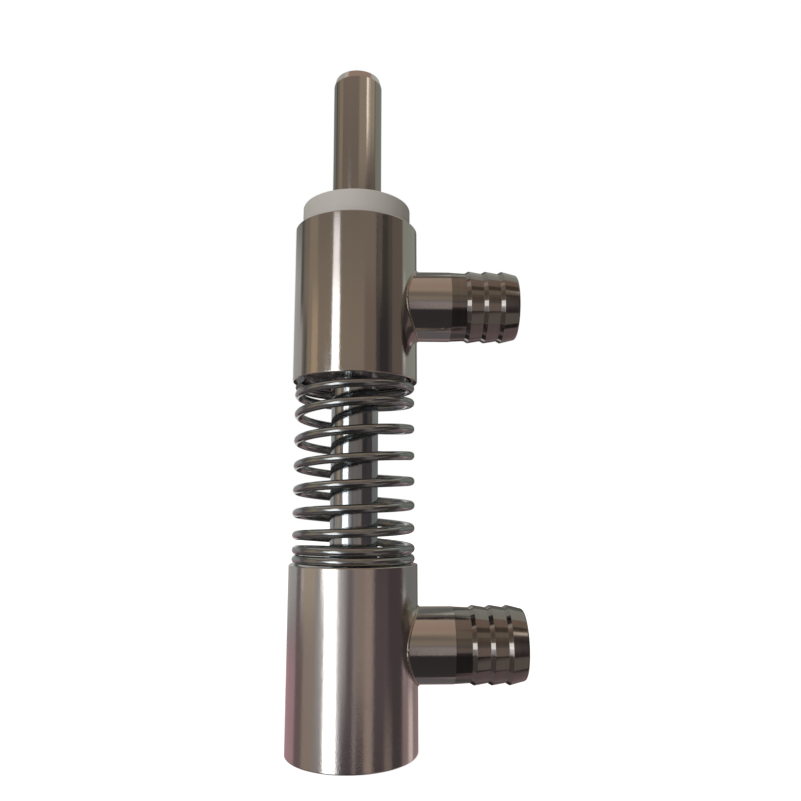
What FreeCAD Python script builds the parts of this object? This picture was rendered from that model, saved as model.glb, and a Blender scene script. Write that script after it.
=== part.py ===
"""Filling nozzle with a spring-closed bell, as a parametric document.

Product enters the bell by the lower hose tail. The spring holds the bell's seat ring on the valve
head, which hangs on the fixed stem. A bottle mouth lifts the bell, the seat ring leaves the head and
product runs into the bottle. Air and overflow return through the hollow stem and its cross holes
into the upper body, and leave by the upper hose tail.

Millimetres. The origin is the centre of the bell mouth's lower rim. +Z runs up the stem, and both
hose tails point along +X.
"""

import FreeCAD
import Part
import Sketcher

import math
import os
from types import SimpleNamespace

document = FreeCAD.newDocument("FillingNozzle")

# Driving dimensions, in millimetres unless the name says otherwise

DIMENSIONS = {
    # Both bodies
    "body_diameter": 32.0,
    "bore_wall": 1.8,
    "chamber_wall": 3.0,
    "rim_chamfer": 0.3,
    # Lower body, the bell
    "bell_length": 44.0,
    "mouth_depth": 10.0,
    "roof_thickness": 8.0,
    "lower_tail_height": 24.5,
    # Upper body
    "upper_body_length": 40.5,
    "floor_thickness": 6.0,
    "upper_tail_rise": 20.5,
    "plug_seat_depth": 9.0,
    # Spring
    "spring_gap": 45.5,
    "spring_inset": 0.7,
    "spring_wire": 2.2,
    "spring_end_clearance": 0.05,
    "spring_turns": 9.0,
    "spring_closed_turns": 1.2,
    "spring_opening_turns": 0.7,
    "spring_closing_turns": 1.4,
    "spring_top_closed_turns": 0.6,
    "spring_coil_gap": 0.05,
    "spring_pitch_growth": 1.35,
    "spring_lean": 0.5,
    # Stem and shank
    "stem_diameter": 12.0,
    "stem_bore": 5.5,
    "stem_stud_diameter": 8.0,
    "stem_stud_length": 9.5,
    "stud_chamfer": 0.5,
    "cross_hole_diameter": 4.5,
    "bore_past_cross_holes": 4.0,
    "shank_diameter": 13.0,
    "shank_length": 37.5,
    "shank_lead_length": 2.0,
    "shank_lead_depth": 0.55,
    "shank_socket_spare": 1.0,
    # Lock nut and its washer
    "nut_across_flats": 19.0,
    "nut_height": 5.0,
    "nut_washer_diameter": 22.0,
    "nut_washer_thickness": 1.0,
    # White plug
    "plug_proud": 6.5,
    "plug_edge_radius": 0.6,
    "plug_groove_height": 4.0,
    # Valve head, its seat ring and the gasket
    "head_gap": 0.6,
    "head_rise": 0.3,
    "head_edge_height": 1.9,
    "head_floor": 2.7,
    "head_neck_height": 10.7,
    "head_cone_rise": 2.8,
    "head_shoulder_rise": 1.0,
    "head_bottom_chamfer": 0.7,
    "head_washer_thickness": 1.0,
    "seat_overlap": 2.0,
    "seat_ring_height": 5.5,
    "seat_gap": 0.66,
    "seat_top_chamfer": 0.5,
    "head_ring_inset": 1.4,
    "head_ring_depth": 0.78,
    "gasket_thickness": 2.0,
    "gasket_lip": 3.1,
    "gasket_groove_depth": 0.6,
    # Guide bush and its retaining ring
    "bush_flange_height": 3.0,
    "bush_neck_diameter": 19.0,
    "bush_neck_short": 0.4,
    "bush_first_groove": 4.4,
    "bush_second_groove": 7.8,
    "ring_thickness": 1.2,
    "ring_groove_depth": 0.6,
    "ring_width": 2.4,
    "ring_mouth": 6.0,
    "ring_lug_diameter": 3.4,
    "ring_lug_inset": 2.8,
    "ring_lug_spacing": 8.7,
    "ring_lug_hole": 1.2,
    # Hose tails
    "tail_bore": 13.5,
    "tail_plain_diameter": 18.2,
    "tail_plain_reach": 24.5,
    "barb_crest_diameter": 18.8,
    "barb_valley_diameter": 17.7,
    "barb_first_crest": 29.4,
    "barb_pitch": 4.3,
    "barb_count": 3.0,
    "barb_face": 1.0,
    "tail_reach": 42.0,
    "tail_tip_diameter": 16.8,
    "tail_tip_radius": 0.6,
    "tail_tip_chamfer": 0.4,
    # Sealing rings and clearances
    "o_ring_section": 1.8,
    "groove_spare": 0.06,
    "static_clearance": 0.03,
    "running_clearance": 0.05,
    "ring_squeeze_gap": 0.05,
}

# A drilled hole's point is this share of its radius deep, as a 118 degree drill leaves it
DRILL_POINT = 0.6

# How far a cut runs past the material, in millimetres, and how near counts as the same place
OVERRUN = 1.0
TOLERANCE = 1e-4


class Size:
    """A length that carries both its number and the sheet formula that gives it."""

    def __init__(self, number, formula):
        self.number = number
        self.formula = formula

    def __add__(self, other):
        other = as_size(other)
        return Size(self.number + other.number, f"({self.formula} + {other.formula})")

    def __sub__(self, other):
        other = as_size(other)
        return Size(self.number - other.number, f"({self.formula} - {other.formula})")

    def __mul__(self, factor):
        return Size(self.number * factor, f"({self.formula} * {factor})")

    def __truediv__(self, divisor):
        return Size(self.number / divisor, f"({self.formula} / {divisor})")


def as_size(value):
    """Plain numbers join sizes in a formula as they are."""
    return value if isinstance(value, Size) else Size(float(value), str(float(value)))


ZERO = as_size(0)


def make_sheet():
    """The sheet of driving dimensions: a name in column A and its aliased number in column B."""
    sheet = document.addObject("Spreadsheet::Sheet", "Sizes")
    for row, (name, value) in enumerate(DIMENSIONS.items(), start=1):
        sheet.set(f"A{row}", name.replace("_", " "))
        sheet.set(f"B{row}", str(value))
        sheet.setAlias(f"B{row}", name)
    document.recompute()
    return SimpleNamespace(**{name: Size(value, f"Sizes.{name}") for name, value in DIMENSIONS.items()})


d = make_sheet()

# Heights above the mouth's rim, and radii, that several pieces share

body_radius = d.body_diameter / 2
bore_radius = body_radius - d.bore_wall
chamber_radius = body_radius - d.chamber_wall
bush_flange_radius = chamber_radius - d.running_clearance
gasket_bore_radius = bore_radius - d.gasket_lip
head_radius = gasket_bore_radius - d.head_gap
head_ring_radius = head_radius - d.head_ring_inset
seat_radius = head_radius - d.seat_overlap
stem_radius = d.stem_diameter / 2
stud_radius = d.stem_stud_diameter / 2
ring_radius = d.o_ring_section / 2
groove_width = d.o_ring_section + d.groove_spare
groove_depth = d.o_ring_section + d.groove_spare

gasket_top = d.mouth_depth + d.gasket_thickness
seat_top = gasket_top + d.seat_ring_height
roof_bottom = d.bell_length - d.roof_thickness
bush_bottom = roof_bottom - d.bush_flange_height
upper_body_bottom = d.bell_length + d.spring_gap
chamber_floor = upper_body_bottom + d.floor_thickness
upper_body_top = upper_body_bottom + d.upper_body_length
plug_bottom = upper_body_top - d.plug_seat_depth
plug_top = upper_body_top + d.plug_proud
upper_tail_height = upper_body_bottom + d.upper_tail_rise
head_bottom = d.mouth_depth + d.head_rise
head_top = head_bottom + d.head_neck_height
stem_shoulder = head_top + d.head_washer_thickness
stem_foot = head_bottom + d.head_floor + d.static_clearance


# Helpers that draw, turn, cut and place the pieces

def origin_plane(body, role):
    """One of the body's own origin planes."""
    return next(item for item in body.Origin.OriginFeatures if item.Role == role)


def attach(sketch, body, role):
    """Lays the sketch on one of its body's origin planes."""
    sketch.AttachmentSupport = (origin_plane(body, role), [""])
    sketch.MapMode = "FlatFace"


def tie(sketch, direction, geometry, point, size):
    """Ties one coordinate of a sketch point to the sheet."""
    if size.number == 0:
        axis = -2 if direction == "DistanceX" else -1
        sketch.addConstraint(Sketcher.Constraint("PointOnObject", geometry, point, axis))
        return
    place = sketch.addConstraint(Sketcher.Constraint(direction, -1, 1, geometry, point, size.number))
    sketch.setExpression(f"Constraints[{place}]", size.formula)


def draw_outline(sketch, corners):
    """Closes straight lines through the corners, each a pair of sizes."""
    points = [FreeCAD.Vector(across.number, up.number, 0) for across, up in corners]
    for start, end in zip(points, points[1:] + points[:1]):
        sketch.addGeometry(Part.LineSegment(start, end), False)
    for index, (across, up) in enumerate(corners):
        sketch.addConstraint(Sketcher.Constraint("Coincident", index, 2, (index + 1) % len(corners), 1))
        tie(sketch, "DistanceX", index, 1, across)
        tie(sketch, "DistanceY", index, 1, up)


def draw_circle(sketch, across, up, radius):
    """Adds a circle with its centre and radius tied to the sheet."""
    centre = FreeCAD.Vector(across.number, up.number, 0)
    index = sketch.addGeometry(Part.Circle(centre, FreeCAD.Vector(0, 0, 1), radius.number), False)
    tie(sketch, "DistanceX", index, 3, across)
    tie(sketch, "DistanceY", index, 3, up)
    place = sketch.addConstraint(Sketcher.Constraint("Radius", index, radius.number))
    sketch.setExpression(f"Constraints[{place}]", radius.formula)


def new_body(name, height):
    """An empty body whose own origin stands at a height on the nozzle's axis."""
    body = document.addObject("PartDesign::Body", name)
    body.Label = name
    body.setExpression(".Placement.Base.z", height.formula)
    return body


def turn_outline(body, corners, axis="V_Axis"):
    """Turns an outline on the XZ plane once round: (radius, height), or (reach, radius) about X."""
    sketch = body.newObject("Sketcher::SketchObject", body.Name + "_outline")
    attach(sketch, body, "XZ_Plane")
    draw_outline(sketch, corners)
    turned = body.newObject("PartDesign::Revolution", body.Name + "_turned")
    turned.Profile = sketch
    turned.ReferenceAxis = (sketch, [axis])
    turned.Angle = 360
    document.recompute()
    return turned


def turned_piece(name, height, corners):
    """A piece turned about the nozzle's axis."""
    body = new_body(name, height)
    turn_outline(body, corners)
    return body


def cut_round(body, name, role, across, up, radius, depth, target=None):
    """Cuts a round hole from an origin plane: towards the target point, or both ways without one."""
    before = body.Shape.Volume
    sketch = body.newObject("Sketcher::SketchObject", body.Name + "_" + name + "_circle")
    attach(sketch, body, role)
    draw_circle(sketch, across, up, radius)
    pocket = body.newObject("PartDesign::Pocket", body.Name + "_" + name)
    pocket.Profile = sketch
    pocket.setExpression("Length", depth.formula)
    pocket.Midplane = target is None
    document.recompute()
    if target and body.Shape.isInside(target, TOLERANCE, True):
        pocket.Reversed = True
        document.recompute()
    if body.Shape.Volume >= before:
        raise RuntimeError(name + " cuts nothing from " + body.Label)
    return pocket


def cut_tail_hole(body, height, height_in_body):
    """Opens the wall on the +X side to the hose tail there."""
    wall_middle = body_radius - d.chamber_wall / 2
    cut_round(body, "tail_hole", "YZ_Plane", ZERO, height_in_body, d.tail_bore / 2,
              body_radius + OVERRUN, FreeCAD.Vector(wall_middle.number, 0, height.number))


def round_edges(body, name, radius, wanted):
    """Fillets the circular edges that the test picks."""
    base = body.Tip
    edges = [f"Edge{number}" for number, edge in enumerate(base.Shape.Edges, start=1)
             if isinstance(edge.Curve, Part.Circle) and wanted(edge.Curve)]
    fillet = body.newObject("PartDesign::Fillet", body.Name + "_" + name)
    fillet.Base = (base, edges)
    fillet.setExpression("Radius", radius.formula)
    document.recompute()
    return fillet


def o_ring(name, centre_radius, height, radius=None):
    """A round-section sealing ring about the nozzle's axis."""
    ring = document.addObject("Part::Torus", name)
    ring.Label = name
    ring.setExpression("Radius1", centre_radius.formula)
    ring.setExpression("Radius2", (radius or ring_radius).formula)
    ring.setExpression(".Placement.Base.z", height.formula)
    return ring


def cylinder(name, radius, height, base=ZERO):
    """A helper cylinder on the nozzle's axis."""
    item = document.addObject("Part::Cylinder", name)
    item.setExpression("Radius", radius.formula)
    item.setExpression("Height", height.formula)
    item.setExpression(".Placement.Base.z", base.formula)
    return item


def cut(name, base, tool):
    """The base less the tool."""
    item = document.addObject("Part::Cut", name)
    item.Base = base
    item.Tool = tool
    return item


# Lower body

def make_lower_body():
    """The bell: mouth recess, gasket groove, seat ring's bore, product chamber and roof."""
    groove_radius = bore_radius + d.gasket_groove_depth
    circlip_radius = chamber_radius + d.ring_groove_depth
    circlip_bottom = bush_bottom - d.ring_thickness
    roof_hole = d.bush_neck_diameter / 2 + d.static_clearance
    body = turned_piece("lower_body", ZERO, [
        (bore_radius, ZERO),
        (body_radius - d.rim_chamfer, ZERO),
        (body_radius, d.rim_chamfer),
        (body_radius, d.bell_length - d.rim_chamfer),
        (body_radius - d.rim_chamfer, d.bell_length),
        (roof_hole, d.bell_length),
        (roof_hole, roof_bottom),
        (chamber_radius, roof_bottom),
        (chamber_radius, bush_bottom),
        (circlip_radius, bush_bottom),
        (circlip_radius, circlip_bottom),
        (chamber_radius, circlip_bottom),
        (chamber_radius, seat_top),
        (bore_radius, seat_top),
        (bore_radius, gasket_top),
        (groove_radius, gasket_top),
        (groove_radius, d.mouth_depth),
        (bore_radius, d.mouth_depth),
    ])
    cut_tail_hole(body, d.lower_tail_height, d.lower_tail_height)
    return body


def make_upper_body():
    """The return chamber: a floor that the stem is locked to and a seat for the white plug."""
    floor_hole = stem_radius + d.static_clearance
    seat_height = d.upper_body_length - d.plug_seat_depth
    body = turned_piece("upper_body", upper_body_bottom, [
        (floor_hole, ZERO),
        (body_radius - d.rim_chamfer, ZERO),
        (body_radius, d.rim_chamfer),
        (body_radius, d.upper_body_length - d.rim_chamfer),
        (body_radius - d.rim_chamfer, d.upper_body_length),
        (bore_radius, d.upper_body_length),
        (bore_radius, seat_height),
        (chamber_radius, seat_height),
        (chamber_radius, d.floor_thickness),
        (floor_hole, d.floor_thickness),
    ])
    cut_tail_hole(body, upper_tail_height, d.upper_tail_rise)
    return body


# Hose tails

def tail_outline():
    """Half section of a hose tail, (reach, radius): a plain stub from inside the body, and the barbs."""
    bore = d.tail_bore / 2
    plain = d.tail_plain_diameter / 2
    crest = d.barb_crest_diameter / 2
    valley = d.barb_valley_diameter / 2
    corners = [(plain, bore), (plain, plain), (d.tail_plain_reach, plain)]
    for barb in range(round(d.barb_count.number)):
        reach = d.barb_first_crest + d.barb_pitch * barb
        corners += [(reach - d.barb_face, valley), (reach, crest)]
    corners += [(d.tail_reach, d.tail_tip_diameter / 2),
                (d.tail_reach, bore + d.tail_tip_chamfer),
                (d.tail_reach - d.tail_tip_chamfer, bore)]
    return corners


def make_hose_tail(name, height):
    """A barbed tail along +X, its foot hollowed to sit on the body's round side."""
    body = new_body(name, height)
    turn_outline(body, tail_outline(), "H_Axis")
    tip = d.tail_tip_diameter / 2
    round_edges(body, "tip_edge", d.tail_tip_radius,
                lambda circle: abs(circle.Radius - tip.number) < TOLERANCE)
    cut_round(body, "saddle", "XY_Plane", ZERO, ZERO, body_radius + d.static_clearance,
              d.tail_plain_diameter + OVERRUN * 2)
    return body


# Stem group

def make_stem():
    """The hollow return tube, with a stud at each end and four cross holes in the upper chamber."""
    foot = stem_foot
    shoulder = stem_shoulder - foot
    top = plug_top - foot
    bore = d.stem_bore / 2
    bore_end = upper_tail_height + d.bore_past_cross_holes - foot
    tip_chamfer = d.stud_chamfer
    body = turned_piece("stem", foot, [
        (bore, ZERO),
        (stud_radius - tip_chamfer, ZERO),
        (stud_radius, tip_chamfer),
        (stud_radius, shoulder),
        (stem_radius, shoulder),
        (stem_radius, top),
        (stud_radius, top),
        (stud_radius, top + d.stem_stud_length - tip_chamfer),
        (stud_radius - tip_chamfer, top + d.stem_stud_length),
        (ZERO, top + d.stem_stud_length),
        (ZERO, bore_end + bore * DRILL_POINT),
        (bore, bore_end),
    ])
    cross = cut_round(body, "cross_hole", "XZ_Plane", ZERO, upper_tail_height - foot,
                      d.cross_hole_diameter / 2, d.stem_diameter + OVERRUN * 2)
    pattern = body.newObject("PartDesign::PolarPattern", "stem_cross_holes")
    pattern.Originals = [cross]
    pattern.Axis = (cross.Profile[0], ["V_Axis"])
    pattern.Angle = 90
    pattern.Occurrences = 2
    body.Tip = pattern
    document.recompute()
    return body


def make_shank():
    """The bar that the machine clamps: a long lead at its top, a tapped socket for the stud below."""
    radius = d.shank_diameter / 2
    socket = stud_radius + d.static_clearance
    depth = d.stem_stud_length + d.shank_socket_spare
    return turned_piece("shank", plug_top, [
        (socket, ZERO),
        (radius, ZERO),
        (radius, d.shank_length - d.shank_lead_length),
        (radius - d.shank_lead_depth, d.shank_length),
        (ZERO, d.shank_length),
        (ZERO, depth + socket * DRILL_POINT),
        (socket, depth),
    ])


def make_lock_nut():
    """A thin hexagon nut on the stem's threaded part, in the upper chamber."""
    base = chamber_floor + d.nut_washer_thickness
    hexagon = document.addObject("Part::Prism", "nut_hexagon")
    hexagon.Polygon = 6
    hexagon.setExpression("Circumradius", f"{d.nut_across_flats.formula} / (2 * cos(30deg))")
    hexagon.setExpression("Height", d.nut_height.formula)
    hexagon.setExpression(".Placement.Base.z", base.formula)
    hole = cylinder("nut_hole", stem_radius + d.static_clearance, d.nut_height + OVERRUN * 2,
                    base - OVERRUN)
    nut = cut("stem_lock_nut", hexagon, hole)
    nut.Label = "stem_lock_nut"
    return nut


def make_lock_nut_washer():
    """The seal washer between the lock nut and the chamber's floor."""
    inner = stem_radius + d.static_clearance
    outer = d.nut_washer_diameter / 2
    return turned_piece("lock_nut_washer", chamber_floor, [
        (inner, ZERO),
        (outer, ZERO),
        (outer, d.nut_washer_thickness),
        (inner, d.nut_washer_thickness),
    ])


def make_cap_plug():
    """The white plug, with one groove outside and one inside at the same height."""
    outer = bore_radius - d.static_clearance
    inner = stem_radius + d.static_clearance
    top = d.plug_seat_depth + d.plug_proud
    low = d.plug_groove_height
    high = low + groove_width
    body = turned_piece("cap_plug", plug_bottom, [
        (inner, ZERO),
        (outer, ZERO),
        (outer, low),
        (outer - groove_depth, low),
        (outer - groove_depth, high),
        (outer, high),
        (outer, top),
        (inner, top),
        (inner, high),
        (inner + groove_depth, high),
        (inner + groove_depth, low),
        (inner, low),
    ])
    round_edges(body, "top_edge", d.plug_edge_radius,
                lambda circle: abs(circle.Radius - outer.number) < TOLERANCE
                and abs(circle.Center.z - top.number) < TOLERANCE)
    return body


# Valve: head, seat ring and gasket

def make_valve_head():
    """The conical head on the stem's lower stud, open below for the returning air."""
    cone_foot = d.head_edge_height
    cone_top = cone_foot + d.head_cone_rise
    body = turned_piece("valve_head", head_bottom, [
        (d.stem_bore / 2, ZERO),
        (head_radius - d.head_bottom_chamfer, ZERO),
        (head_radius, d.head_bottom_chamfer),
        (head_radius, cone_foot),
        (head_radius - d.head_cone_rise, cone_top),
        (stem_radius, cone_top + d.head_shoulder_rise),
        (stem_radius, d.head_neck_height),
        (stud_radius + d.static_clearance, d.head_neck_height),
        (stud_radius + d.static_clearance, d.head_floor),
        (d.stem_bore / 2, d.head_floor),
    ])
    sketch = body.newObject("Sketcher::SketchObject", "valve_head_groove_circle")
    attach(sketch, body, "XZ_Plane")
    draw_circle(sketch, head_ring_radius, head_ring_height() - head_bottom,
                ring_radius + d.groove_spare / 2)
    groove = body.newObject("PartDesign::Groove", "valve_head_groove")
    groove.Profile = sketch
    groove.ReferenceAxis = (sketch, ["V_Axis"])
    groove.Angle = 360
    document.recompute()
    return body


def head_ring_height():
    """Height of the head's sealing ring, so that it stands proud of the cone."""
    cone_line = head_radius + head_bottom + d.head_edge_height
    return cone_line - d.head_ring_depth - head_ring_radius


def make_valve_head_washer():
    """The thin seal between the head's neck and the stem's shoulder."""
    inner = stud_radius + d.static_clearance
    return turned_piece("valve_head_washer", head_top, [
        (inner, ZERO),
        (stem_radius, ZERO),
        (stem_radius, d.head_washer_thickness),
        (inner, d.head_washer_thickness),
    ])


def make_seat_ring():
    """The ring screwed into the bell, with a cone that matches the head's."""
    outer = bore_radius - d.static_clearance
    cone_line = head_radius + head_bottom + d.head_edge_height + d.seat_gap
    low = (d.seat_ring_height - groove_width) / 2
    high = low + groove_width
    return turned_piece("seat_ring", gasket_top, [
        (cone_line - gasket_top, ZERO),
        (outer, ZERO),
        (outer, low),
        (outer - groove_depth, low),
        (outer - groove_depth, high),
        (outer, high),
        (outer, d.seat_ring_height),
        (seat_radius + d.seat_top_chamfer, d.seat_ring_height),
        (seat_radius, d.seat_ring_height - d.seat_top_chamfer),
        (seat_radius, cone_line - gasket_top - seat_radius),
    ])


def make_mouth_gasket():
    """The soft ring that the bottle's rim presses on, held in the bell's groove."""
    outer = bore_radius + d.gasket_groove_depth - d.static_clearance
    return turned_piece("mouth_gasket", d.mouth_depth, [
        (gasket_bore_radius, ZERO),
        (outer, ZERO),
        (outer, d.gasket_thickness),
        (gasket_bore_radius, d.gasket_thickness),
    ])


# Guide bush and its retaining ring

def make_guide_bush():
    """The plastic bush that runs on the stem: a flange under the roof and a neck in it."""
    bore = stem_radius + d.running_clearance
    flange = bush_flange_radius
    neck = d.bush_neck_diameter / 2
    top = d.bush_flange_height + d.roof_thickness - d.bush_neck_short
    low = (d.bush_flange_height - groove_width) / 2
    corners = [
        (bore, ZERO),
        (flange, ZERO),
        (flange, low),
        (flange - groove_depth, low),
        (flange - groove_depth, low + groove_width),
        (flange, low + groove_width),
        (flange, d.bush_flange_height),
        (neck, d.bush_flange_height),
        (neck, top),
        (bore, top),
    ]
    for groove in (d.bush_second_groove, d.bush_first_groove):
        corners += [
            (bore, groove + groove_width),
            (bore + groove_depth, groove + groove_width),
            (bore + groove_depth, groove),
            (bore, groove),
        ]
    return turned_piece("guide_bush", bush_bottom, corners)


def make_stem_o_rings():
    """The two rings in the bush that seal on the stem, as one group of separate solids."""
    centre = stem_radius + d.running_clearance + d.ring_squeeze_gap + ring_radius
    rings = [o_ring(f"stem_o_ring_{number}", centre, bush_bottom + groove + groove_width / 2)
             for number, groove in enumerate((d.bush_first_groove, d.bush_second_groove), start=1)]
    group = document.addObject("Part::Compound", "stem_o_rings")
    group.Label = "stem_o_rings"
    group.Links = rings
    return group


def make_retaining_ring():
    """The circlip under the bush: an open ring with a holed lug at each end."""
    thickness = d.ring_thickness - d.static_clearance
    base = bush_bottom - d.ring_thickness
    outer = chamber_radius + d.ring_groove_depth - d.static_clearance
    inner = outer - d.ring_width
    deep = thickness + OVERRUN * 2
    below = base - OVERRUN
    band = cut("ring_band", cylinder("ring_disc", outer, thickness, base),
               cylinder("ring_opening", inner, deep, below))
    pieces = [band]
    holes = []
    for side, sign in (("left", -1), ("right", 1)):
        lug = cylinder(f"ring_{side}_lug", d.ring_lug_diameter / 2, thickness, base)
        hole = cylinder(f"ring_{side}_lug_hole", d.ring_lug_hole / 2, deep, below)
        for item in (lug, hole):
            item.setExpression(".Placement.Base.x", (d.ring_lug_inset - outer).formula)
            item.setExpression(".Placement.Base.y", (d.ring_lug_spacing / 2 * sign).formula)
        pieces.append(lug)
        holes.append(hole)
    fused = document.addObject("Part::MultiFuse", "ring_with_lugs")
    fused.Shapes = pieces
    mouth = document.addObject("Part::Box", "ring_mouth_cut")
    mouth.setExpression("Length", outer.formula)
    mouth.setExpression("Width", d.ring_mouth.formula)
    mouth.setExpression("Height", deep.formula)
    mouth.setExpression(".Placement.Base.x", (ZERO - outer - OVERRUN).formula)
    mouth.setExpression(".Placement.Base.y", (ZERO - d.ring_mouth / 2).formula)
    mouth.setExpression(".Placement.Base.z", below.formula)
    tools = document.addObject("Part::MultiFuse", "ring_cuts")
    tools.Shapes = holes + [mouth]
    ring = cut("bush_retaining_ring", fused, tools)
    ring.Label = "bush_retaining_ring"
    return ring


# Spring

def spring_pitches():
    """Turns at which the pitch changes, and the pitch there: closed, opening, growing, closed."""
    closed = (d.spring_wire + d.spring_coil_gap).number
    turns = d.spring_turns.number
    end = d.spring_closed_turns.number
    opening = d.spring_opening_turns.number
    closing = d.spring_closing_turns.number
    top_end = d.spring_top_closed_turns.number
    growth = d.spring_pitch_growth.number
    active = turns - end - opening - closing - top_end
    rise = (d.spring_gap - d.spring_wire - d.spring_end_clearance * 2 + d.spring_lean * 2).number
    closed_rise = closed * (end + top_end + (opening + closing) / 2)
    open_turns = opening / 2 + active * (1 + growth) / 2 + closing * growth / 2
    first = (rise - closed_rise) / open_turns
    knots = [0, end, end + opening, turns - top_end - closing, turns - top_end, turns]
    return knots, [closed, closed, first, first * growth, closed, closed]


def spring_height(turn, knots, pitches):
    """Height of the wire's centre above its start after so many turns."""
    height = 0.0
    for low, high, start, end in zip(knots, knots[1:], pitches, pitches[1:]):
        part = min(max(turn - low, 0.0), high - low)
        height += part * (start + (end - start) * part / (2 * (high - low)))
    return height


def spring_swing(turn, turns):
    """The coil's lean there: a full swing at both ends, opposite ways, and none in between."""
    share = (turn / turns) ** 2
    return (1 - share) * math.cos(turn * math.tau) - share * math.cos((turns - turn) * math.tau)


def make_spring():
    """A right-hand compression spring: its end coils lie flat and its pitch grows upwards."""
    wire_radius = d.spring_wire / 2
    radius = (body_radius - d.spring_inset - wire_radius).number
    lean = d.spring_lean.number
    base = (d.bell_length + d.spring_end_clearance + wire_radius).number - lean
    turns = d.spring_turns.number
    knots, pitches = spring_pitches()
    points_per_turn = 12
    count = round(turns * points_per_turn)
    points = []
    for index in range(count + 1):
        turn = turns * index / count
        angle = math.pi + turn * math.tau
        height = base + spring_height(turn, knots, pitches) + lean * spring_swing(turn, turns)
        points.append(FreeCAD.Vector(radius * math.cos(angle), radius * math.sin(angle), height))
    curve = Part.BSplineCurve()
    curve.interpolate(points)
    path = document.addObject("Part::Feature", "spring_centreline")
    path.Shape = Part.Wire(curve.toShape())
    circle = document.addObject("Part::Circle", "spring_wire_section")
    circle.setExpression("Radius", wire_radius.formula)
    tangent = curve.tangent(curve.FirstParameter)[0]
    circle.Placement = FreeCAD.Placement(points[0], FreeCAD.Rotation(FreeCAD.Vector(0, 0, 1), tangent))
    spring = document.addObject("Part::Sweep", "spring")
    spring.Label = "spring"
    spring.Sections = [circle]
    spring.Spine = (path, ["Edge1"])
    spring.Solid = True
    spring.Frenet = True
    return spring


def write_pieces(pieces):
    """Checks every object and every piece, then writes one file for each piece."""
    document.recompute()
    for item in document.Objects:
        if "Invalid" in item.State or "Error" in item.State:
            raise RuntimeError(f"{item.Label} failed: {item.State}")
    for piece in pieces:
        if piece.Shape.isNull() or not piece.Shape.isValid() or not piece.Shape.Solids:
            raise RuntimeError(piece.Label + " has no valid solid")
    os.makedirs("parts", exist_ok=True)
    for piece in pieces:
        piece.Shape.exportStep(f"parts/{piece.Label}.step")
        print(f"{piece.Label}: {len(piece.Shape.Solids)} solid, {piece.Shape.Volume:.1f} mm3")


def make_pieces():
    """Every piece of the nozzle, from the top down."""
    plug_ring_height = plug_bottom + d.plug_groove_height + groove_width / 2
    outer_gap = d.static_clearance + d.ring_squeeze_gap
    return [
        make_shank(),
        make_stem(),
        make_lock_nut(),
        make_lock_nut_washer(),
        make_upper_body(),
        make_hose_tail("upper_hose_tail", upper_tail_height),
        make_cap_plug(),
        o_ring("cap_outer_o_ring", bore_radius - outer_gap - ring_radius, plug_ring_height),
        o_ring("cap_inner_o_ring", stem_radius + outer_gap + ring_radius, plug_ring_height),
        make_valve_head(),
        o_ring("valve_head_o_ring", head_ring_radius, head_ring_height()),
        make_valve_head_washer(),
        make_spring(),
        make_lower_body(),
        make_hose_tail("lower_hose_tail", d.lower_tail_height),
        make_guide_bush(),
        o_ring("guide_bush_o_ring", bush_flange_radius - d.ring_squeeze_gap - ring_radius,
               bush_bottom + d.bush_flange_height / 2),
        make_stem_o_rings(),
        make_retaining_ring(),
        make_seat_ring(),
        o_ring("seat_ring_o_ring", bore_radius - outer_gap - ring_radius,
               gasket_top + d.seat_ring_height / 2),
        make_mouth_gasket(),
    ]


write_pieces(make_pieces())
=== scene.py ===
"""Looks of the filling nozzle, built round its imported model.

The turned pieces are turned again with broken edges and exact normals, the spring and the weld beads
follow their paths, and every surface gets a finish made from nodes. Metres, +Z up the stem, and both
hose tails point along +X.
"""

import math

import bmesh
import bpy
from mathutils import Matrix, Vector


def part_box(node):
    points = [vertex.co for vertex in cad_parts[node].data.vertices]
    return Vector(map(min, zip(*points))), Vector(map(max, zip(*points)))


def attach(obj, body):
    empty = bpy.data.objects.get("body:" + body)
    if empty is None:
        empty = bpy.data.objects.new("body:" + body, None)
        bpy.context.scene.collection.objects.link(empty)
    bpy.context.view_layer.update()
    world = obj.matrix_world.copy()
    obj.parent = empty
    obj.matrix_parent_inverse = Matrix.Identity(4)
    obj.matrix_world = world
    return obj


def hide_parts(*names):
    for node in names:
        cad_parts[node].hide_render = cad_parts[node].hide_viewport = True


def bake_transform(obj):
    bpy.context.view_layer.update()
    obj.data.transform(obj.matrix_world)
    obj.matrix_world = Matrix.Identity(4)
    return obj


bl_info = {
    "name": "Filling nozzle",
    "version": (1, 0, 0),
    "blender": (4, 5, 0),
    "location": "View3D > Sidebar > Nozzle",
    "description": "Turned steel, a coiled spring and white plastic for the packed filling nozzle",
    "category": "Object",
}

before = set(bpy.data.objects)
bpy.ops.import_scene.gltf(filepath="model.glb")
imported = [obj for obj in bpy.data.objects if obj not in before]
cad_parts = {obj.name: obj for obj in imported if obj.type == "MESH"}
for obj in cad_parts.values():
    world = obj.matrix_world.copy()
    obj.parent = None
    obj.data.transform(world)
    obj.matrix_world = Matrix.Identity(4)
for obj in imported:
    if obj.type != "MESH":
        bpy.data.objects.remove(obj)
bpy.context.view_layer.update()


def bottom(node):
    """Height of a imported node's lowest point."""
    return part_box(node)[0].z


def top(node):
    """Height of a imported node's highest point."""
    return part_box(node)[1].z


def radius(node):
    """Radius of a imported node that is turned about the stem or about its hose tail."""
    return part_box(node)[1].y


def extent(node):
    """Radius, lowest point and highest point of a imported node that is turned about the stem."""
    return radius(node), bottom(node), top(node)


# Settings that a user would change

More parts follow.
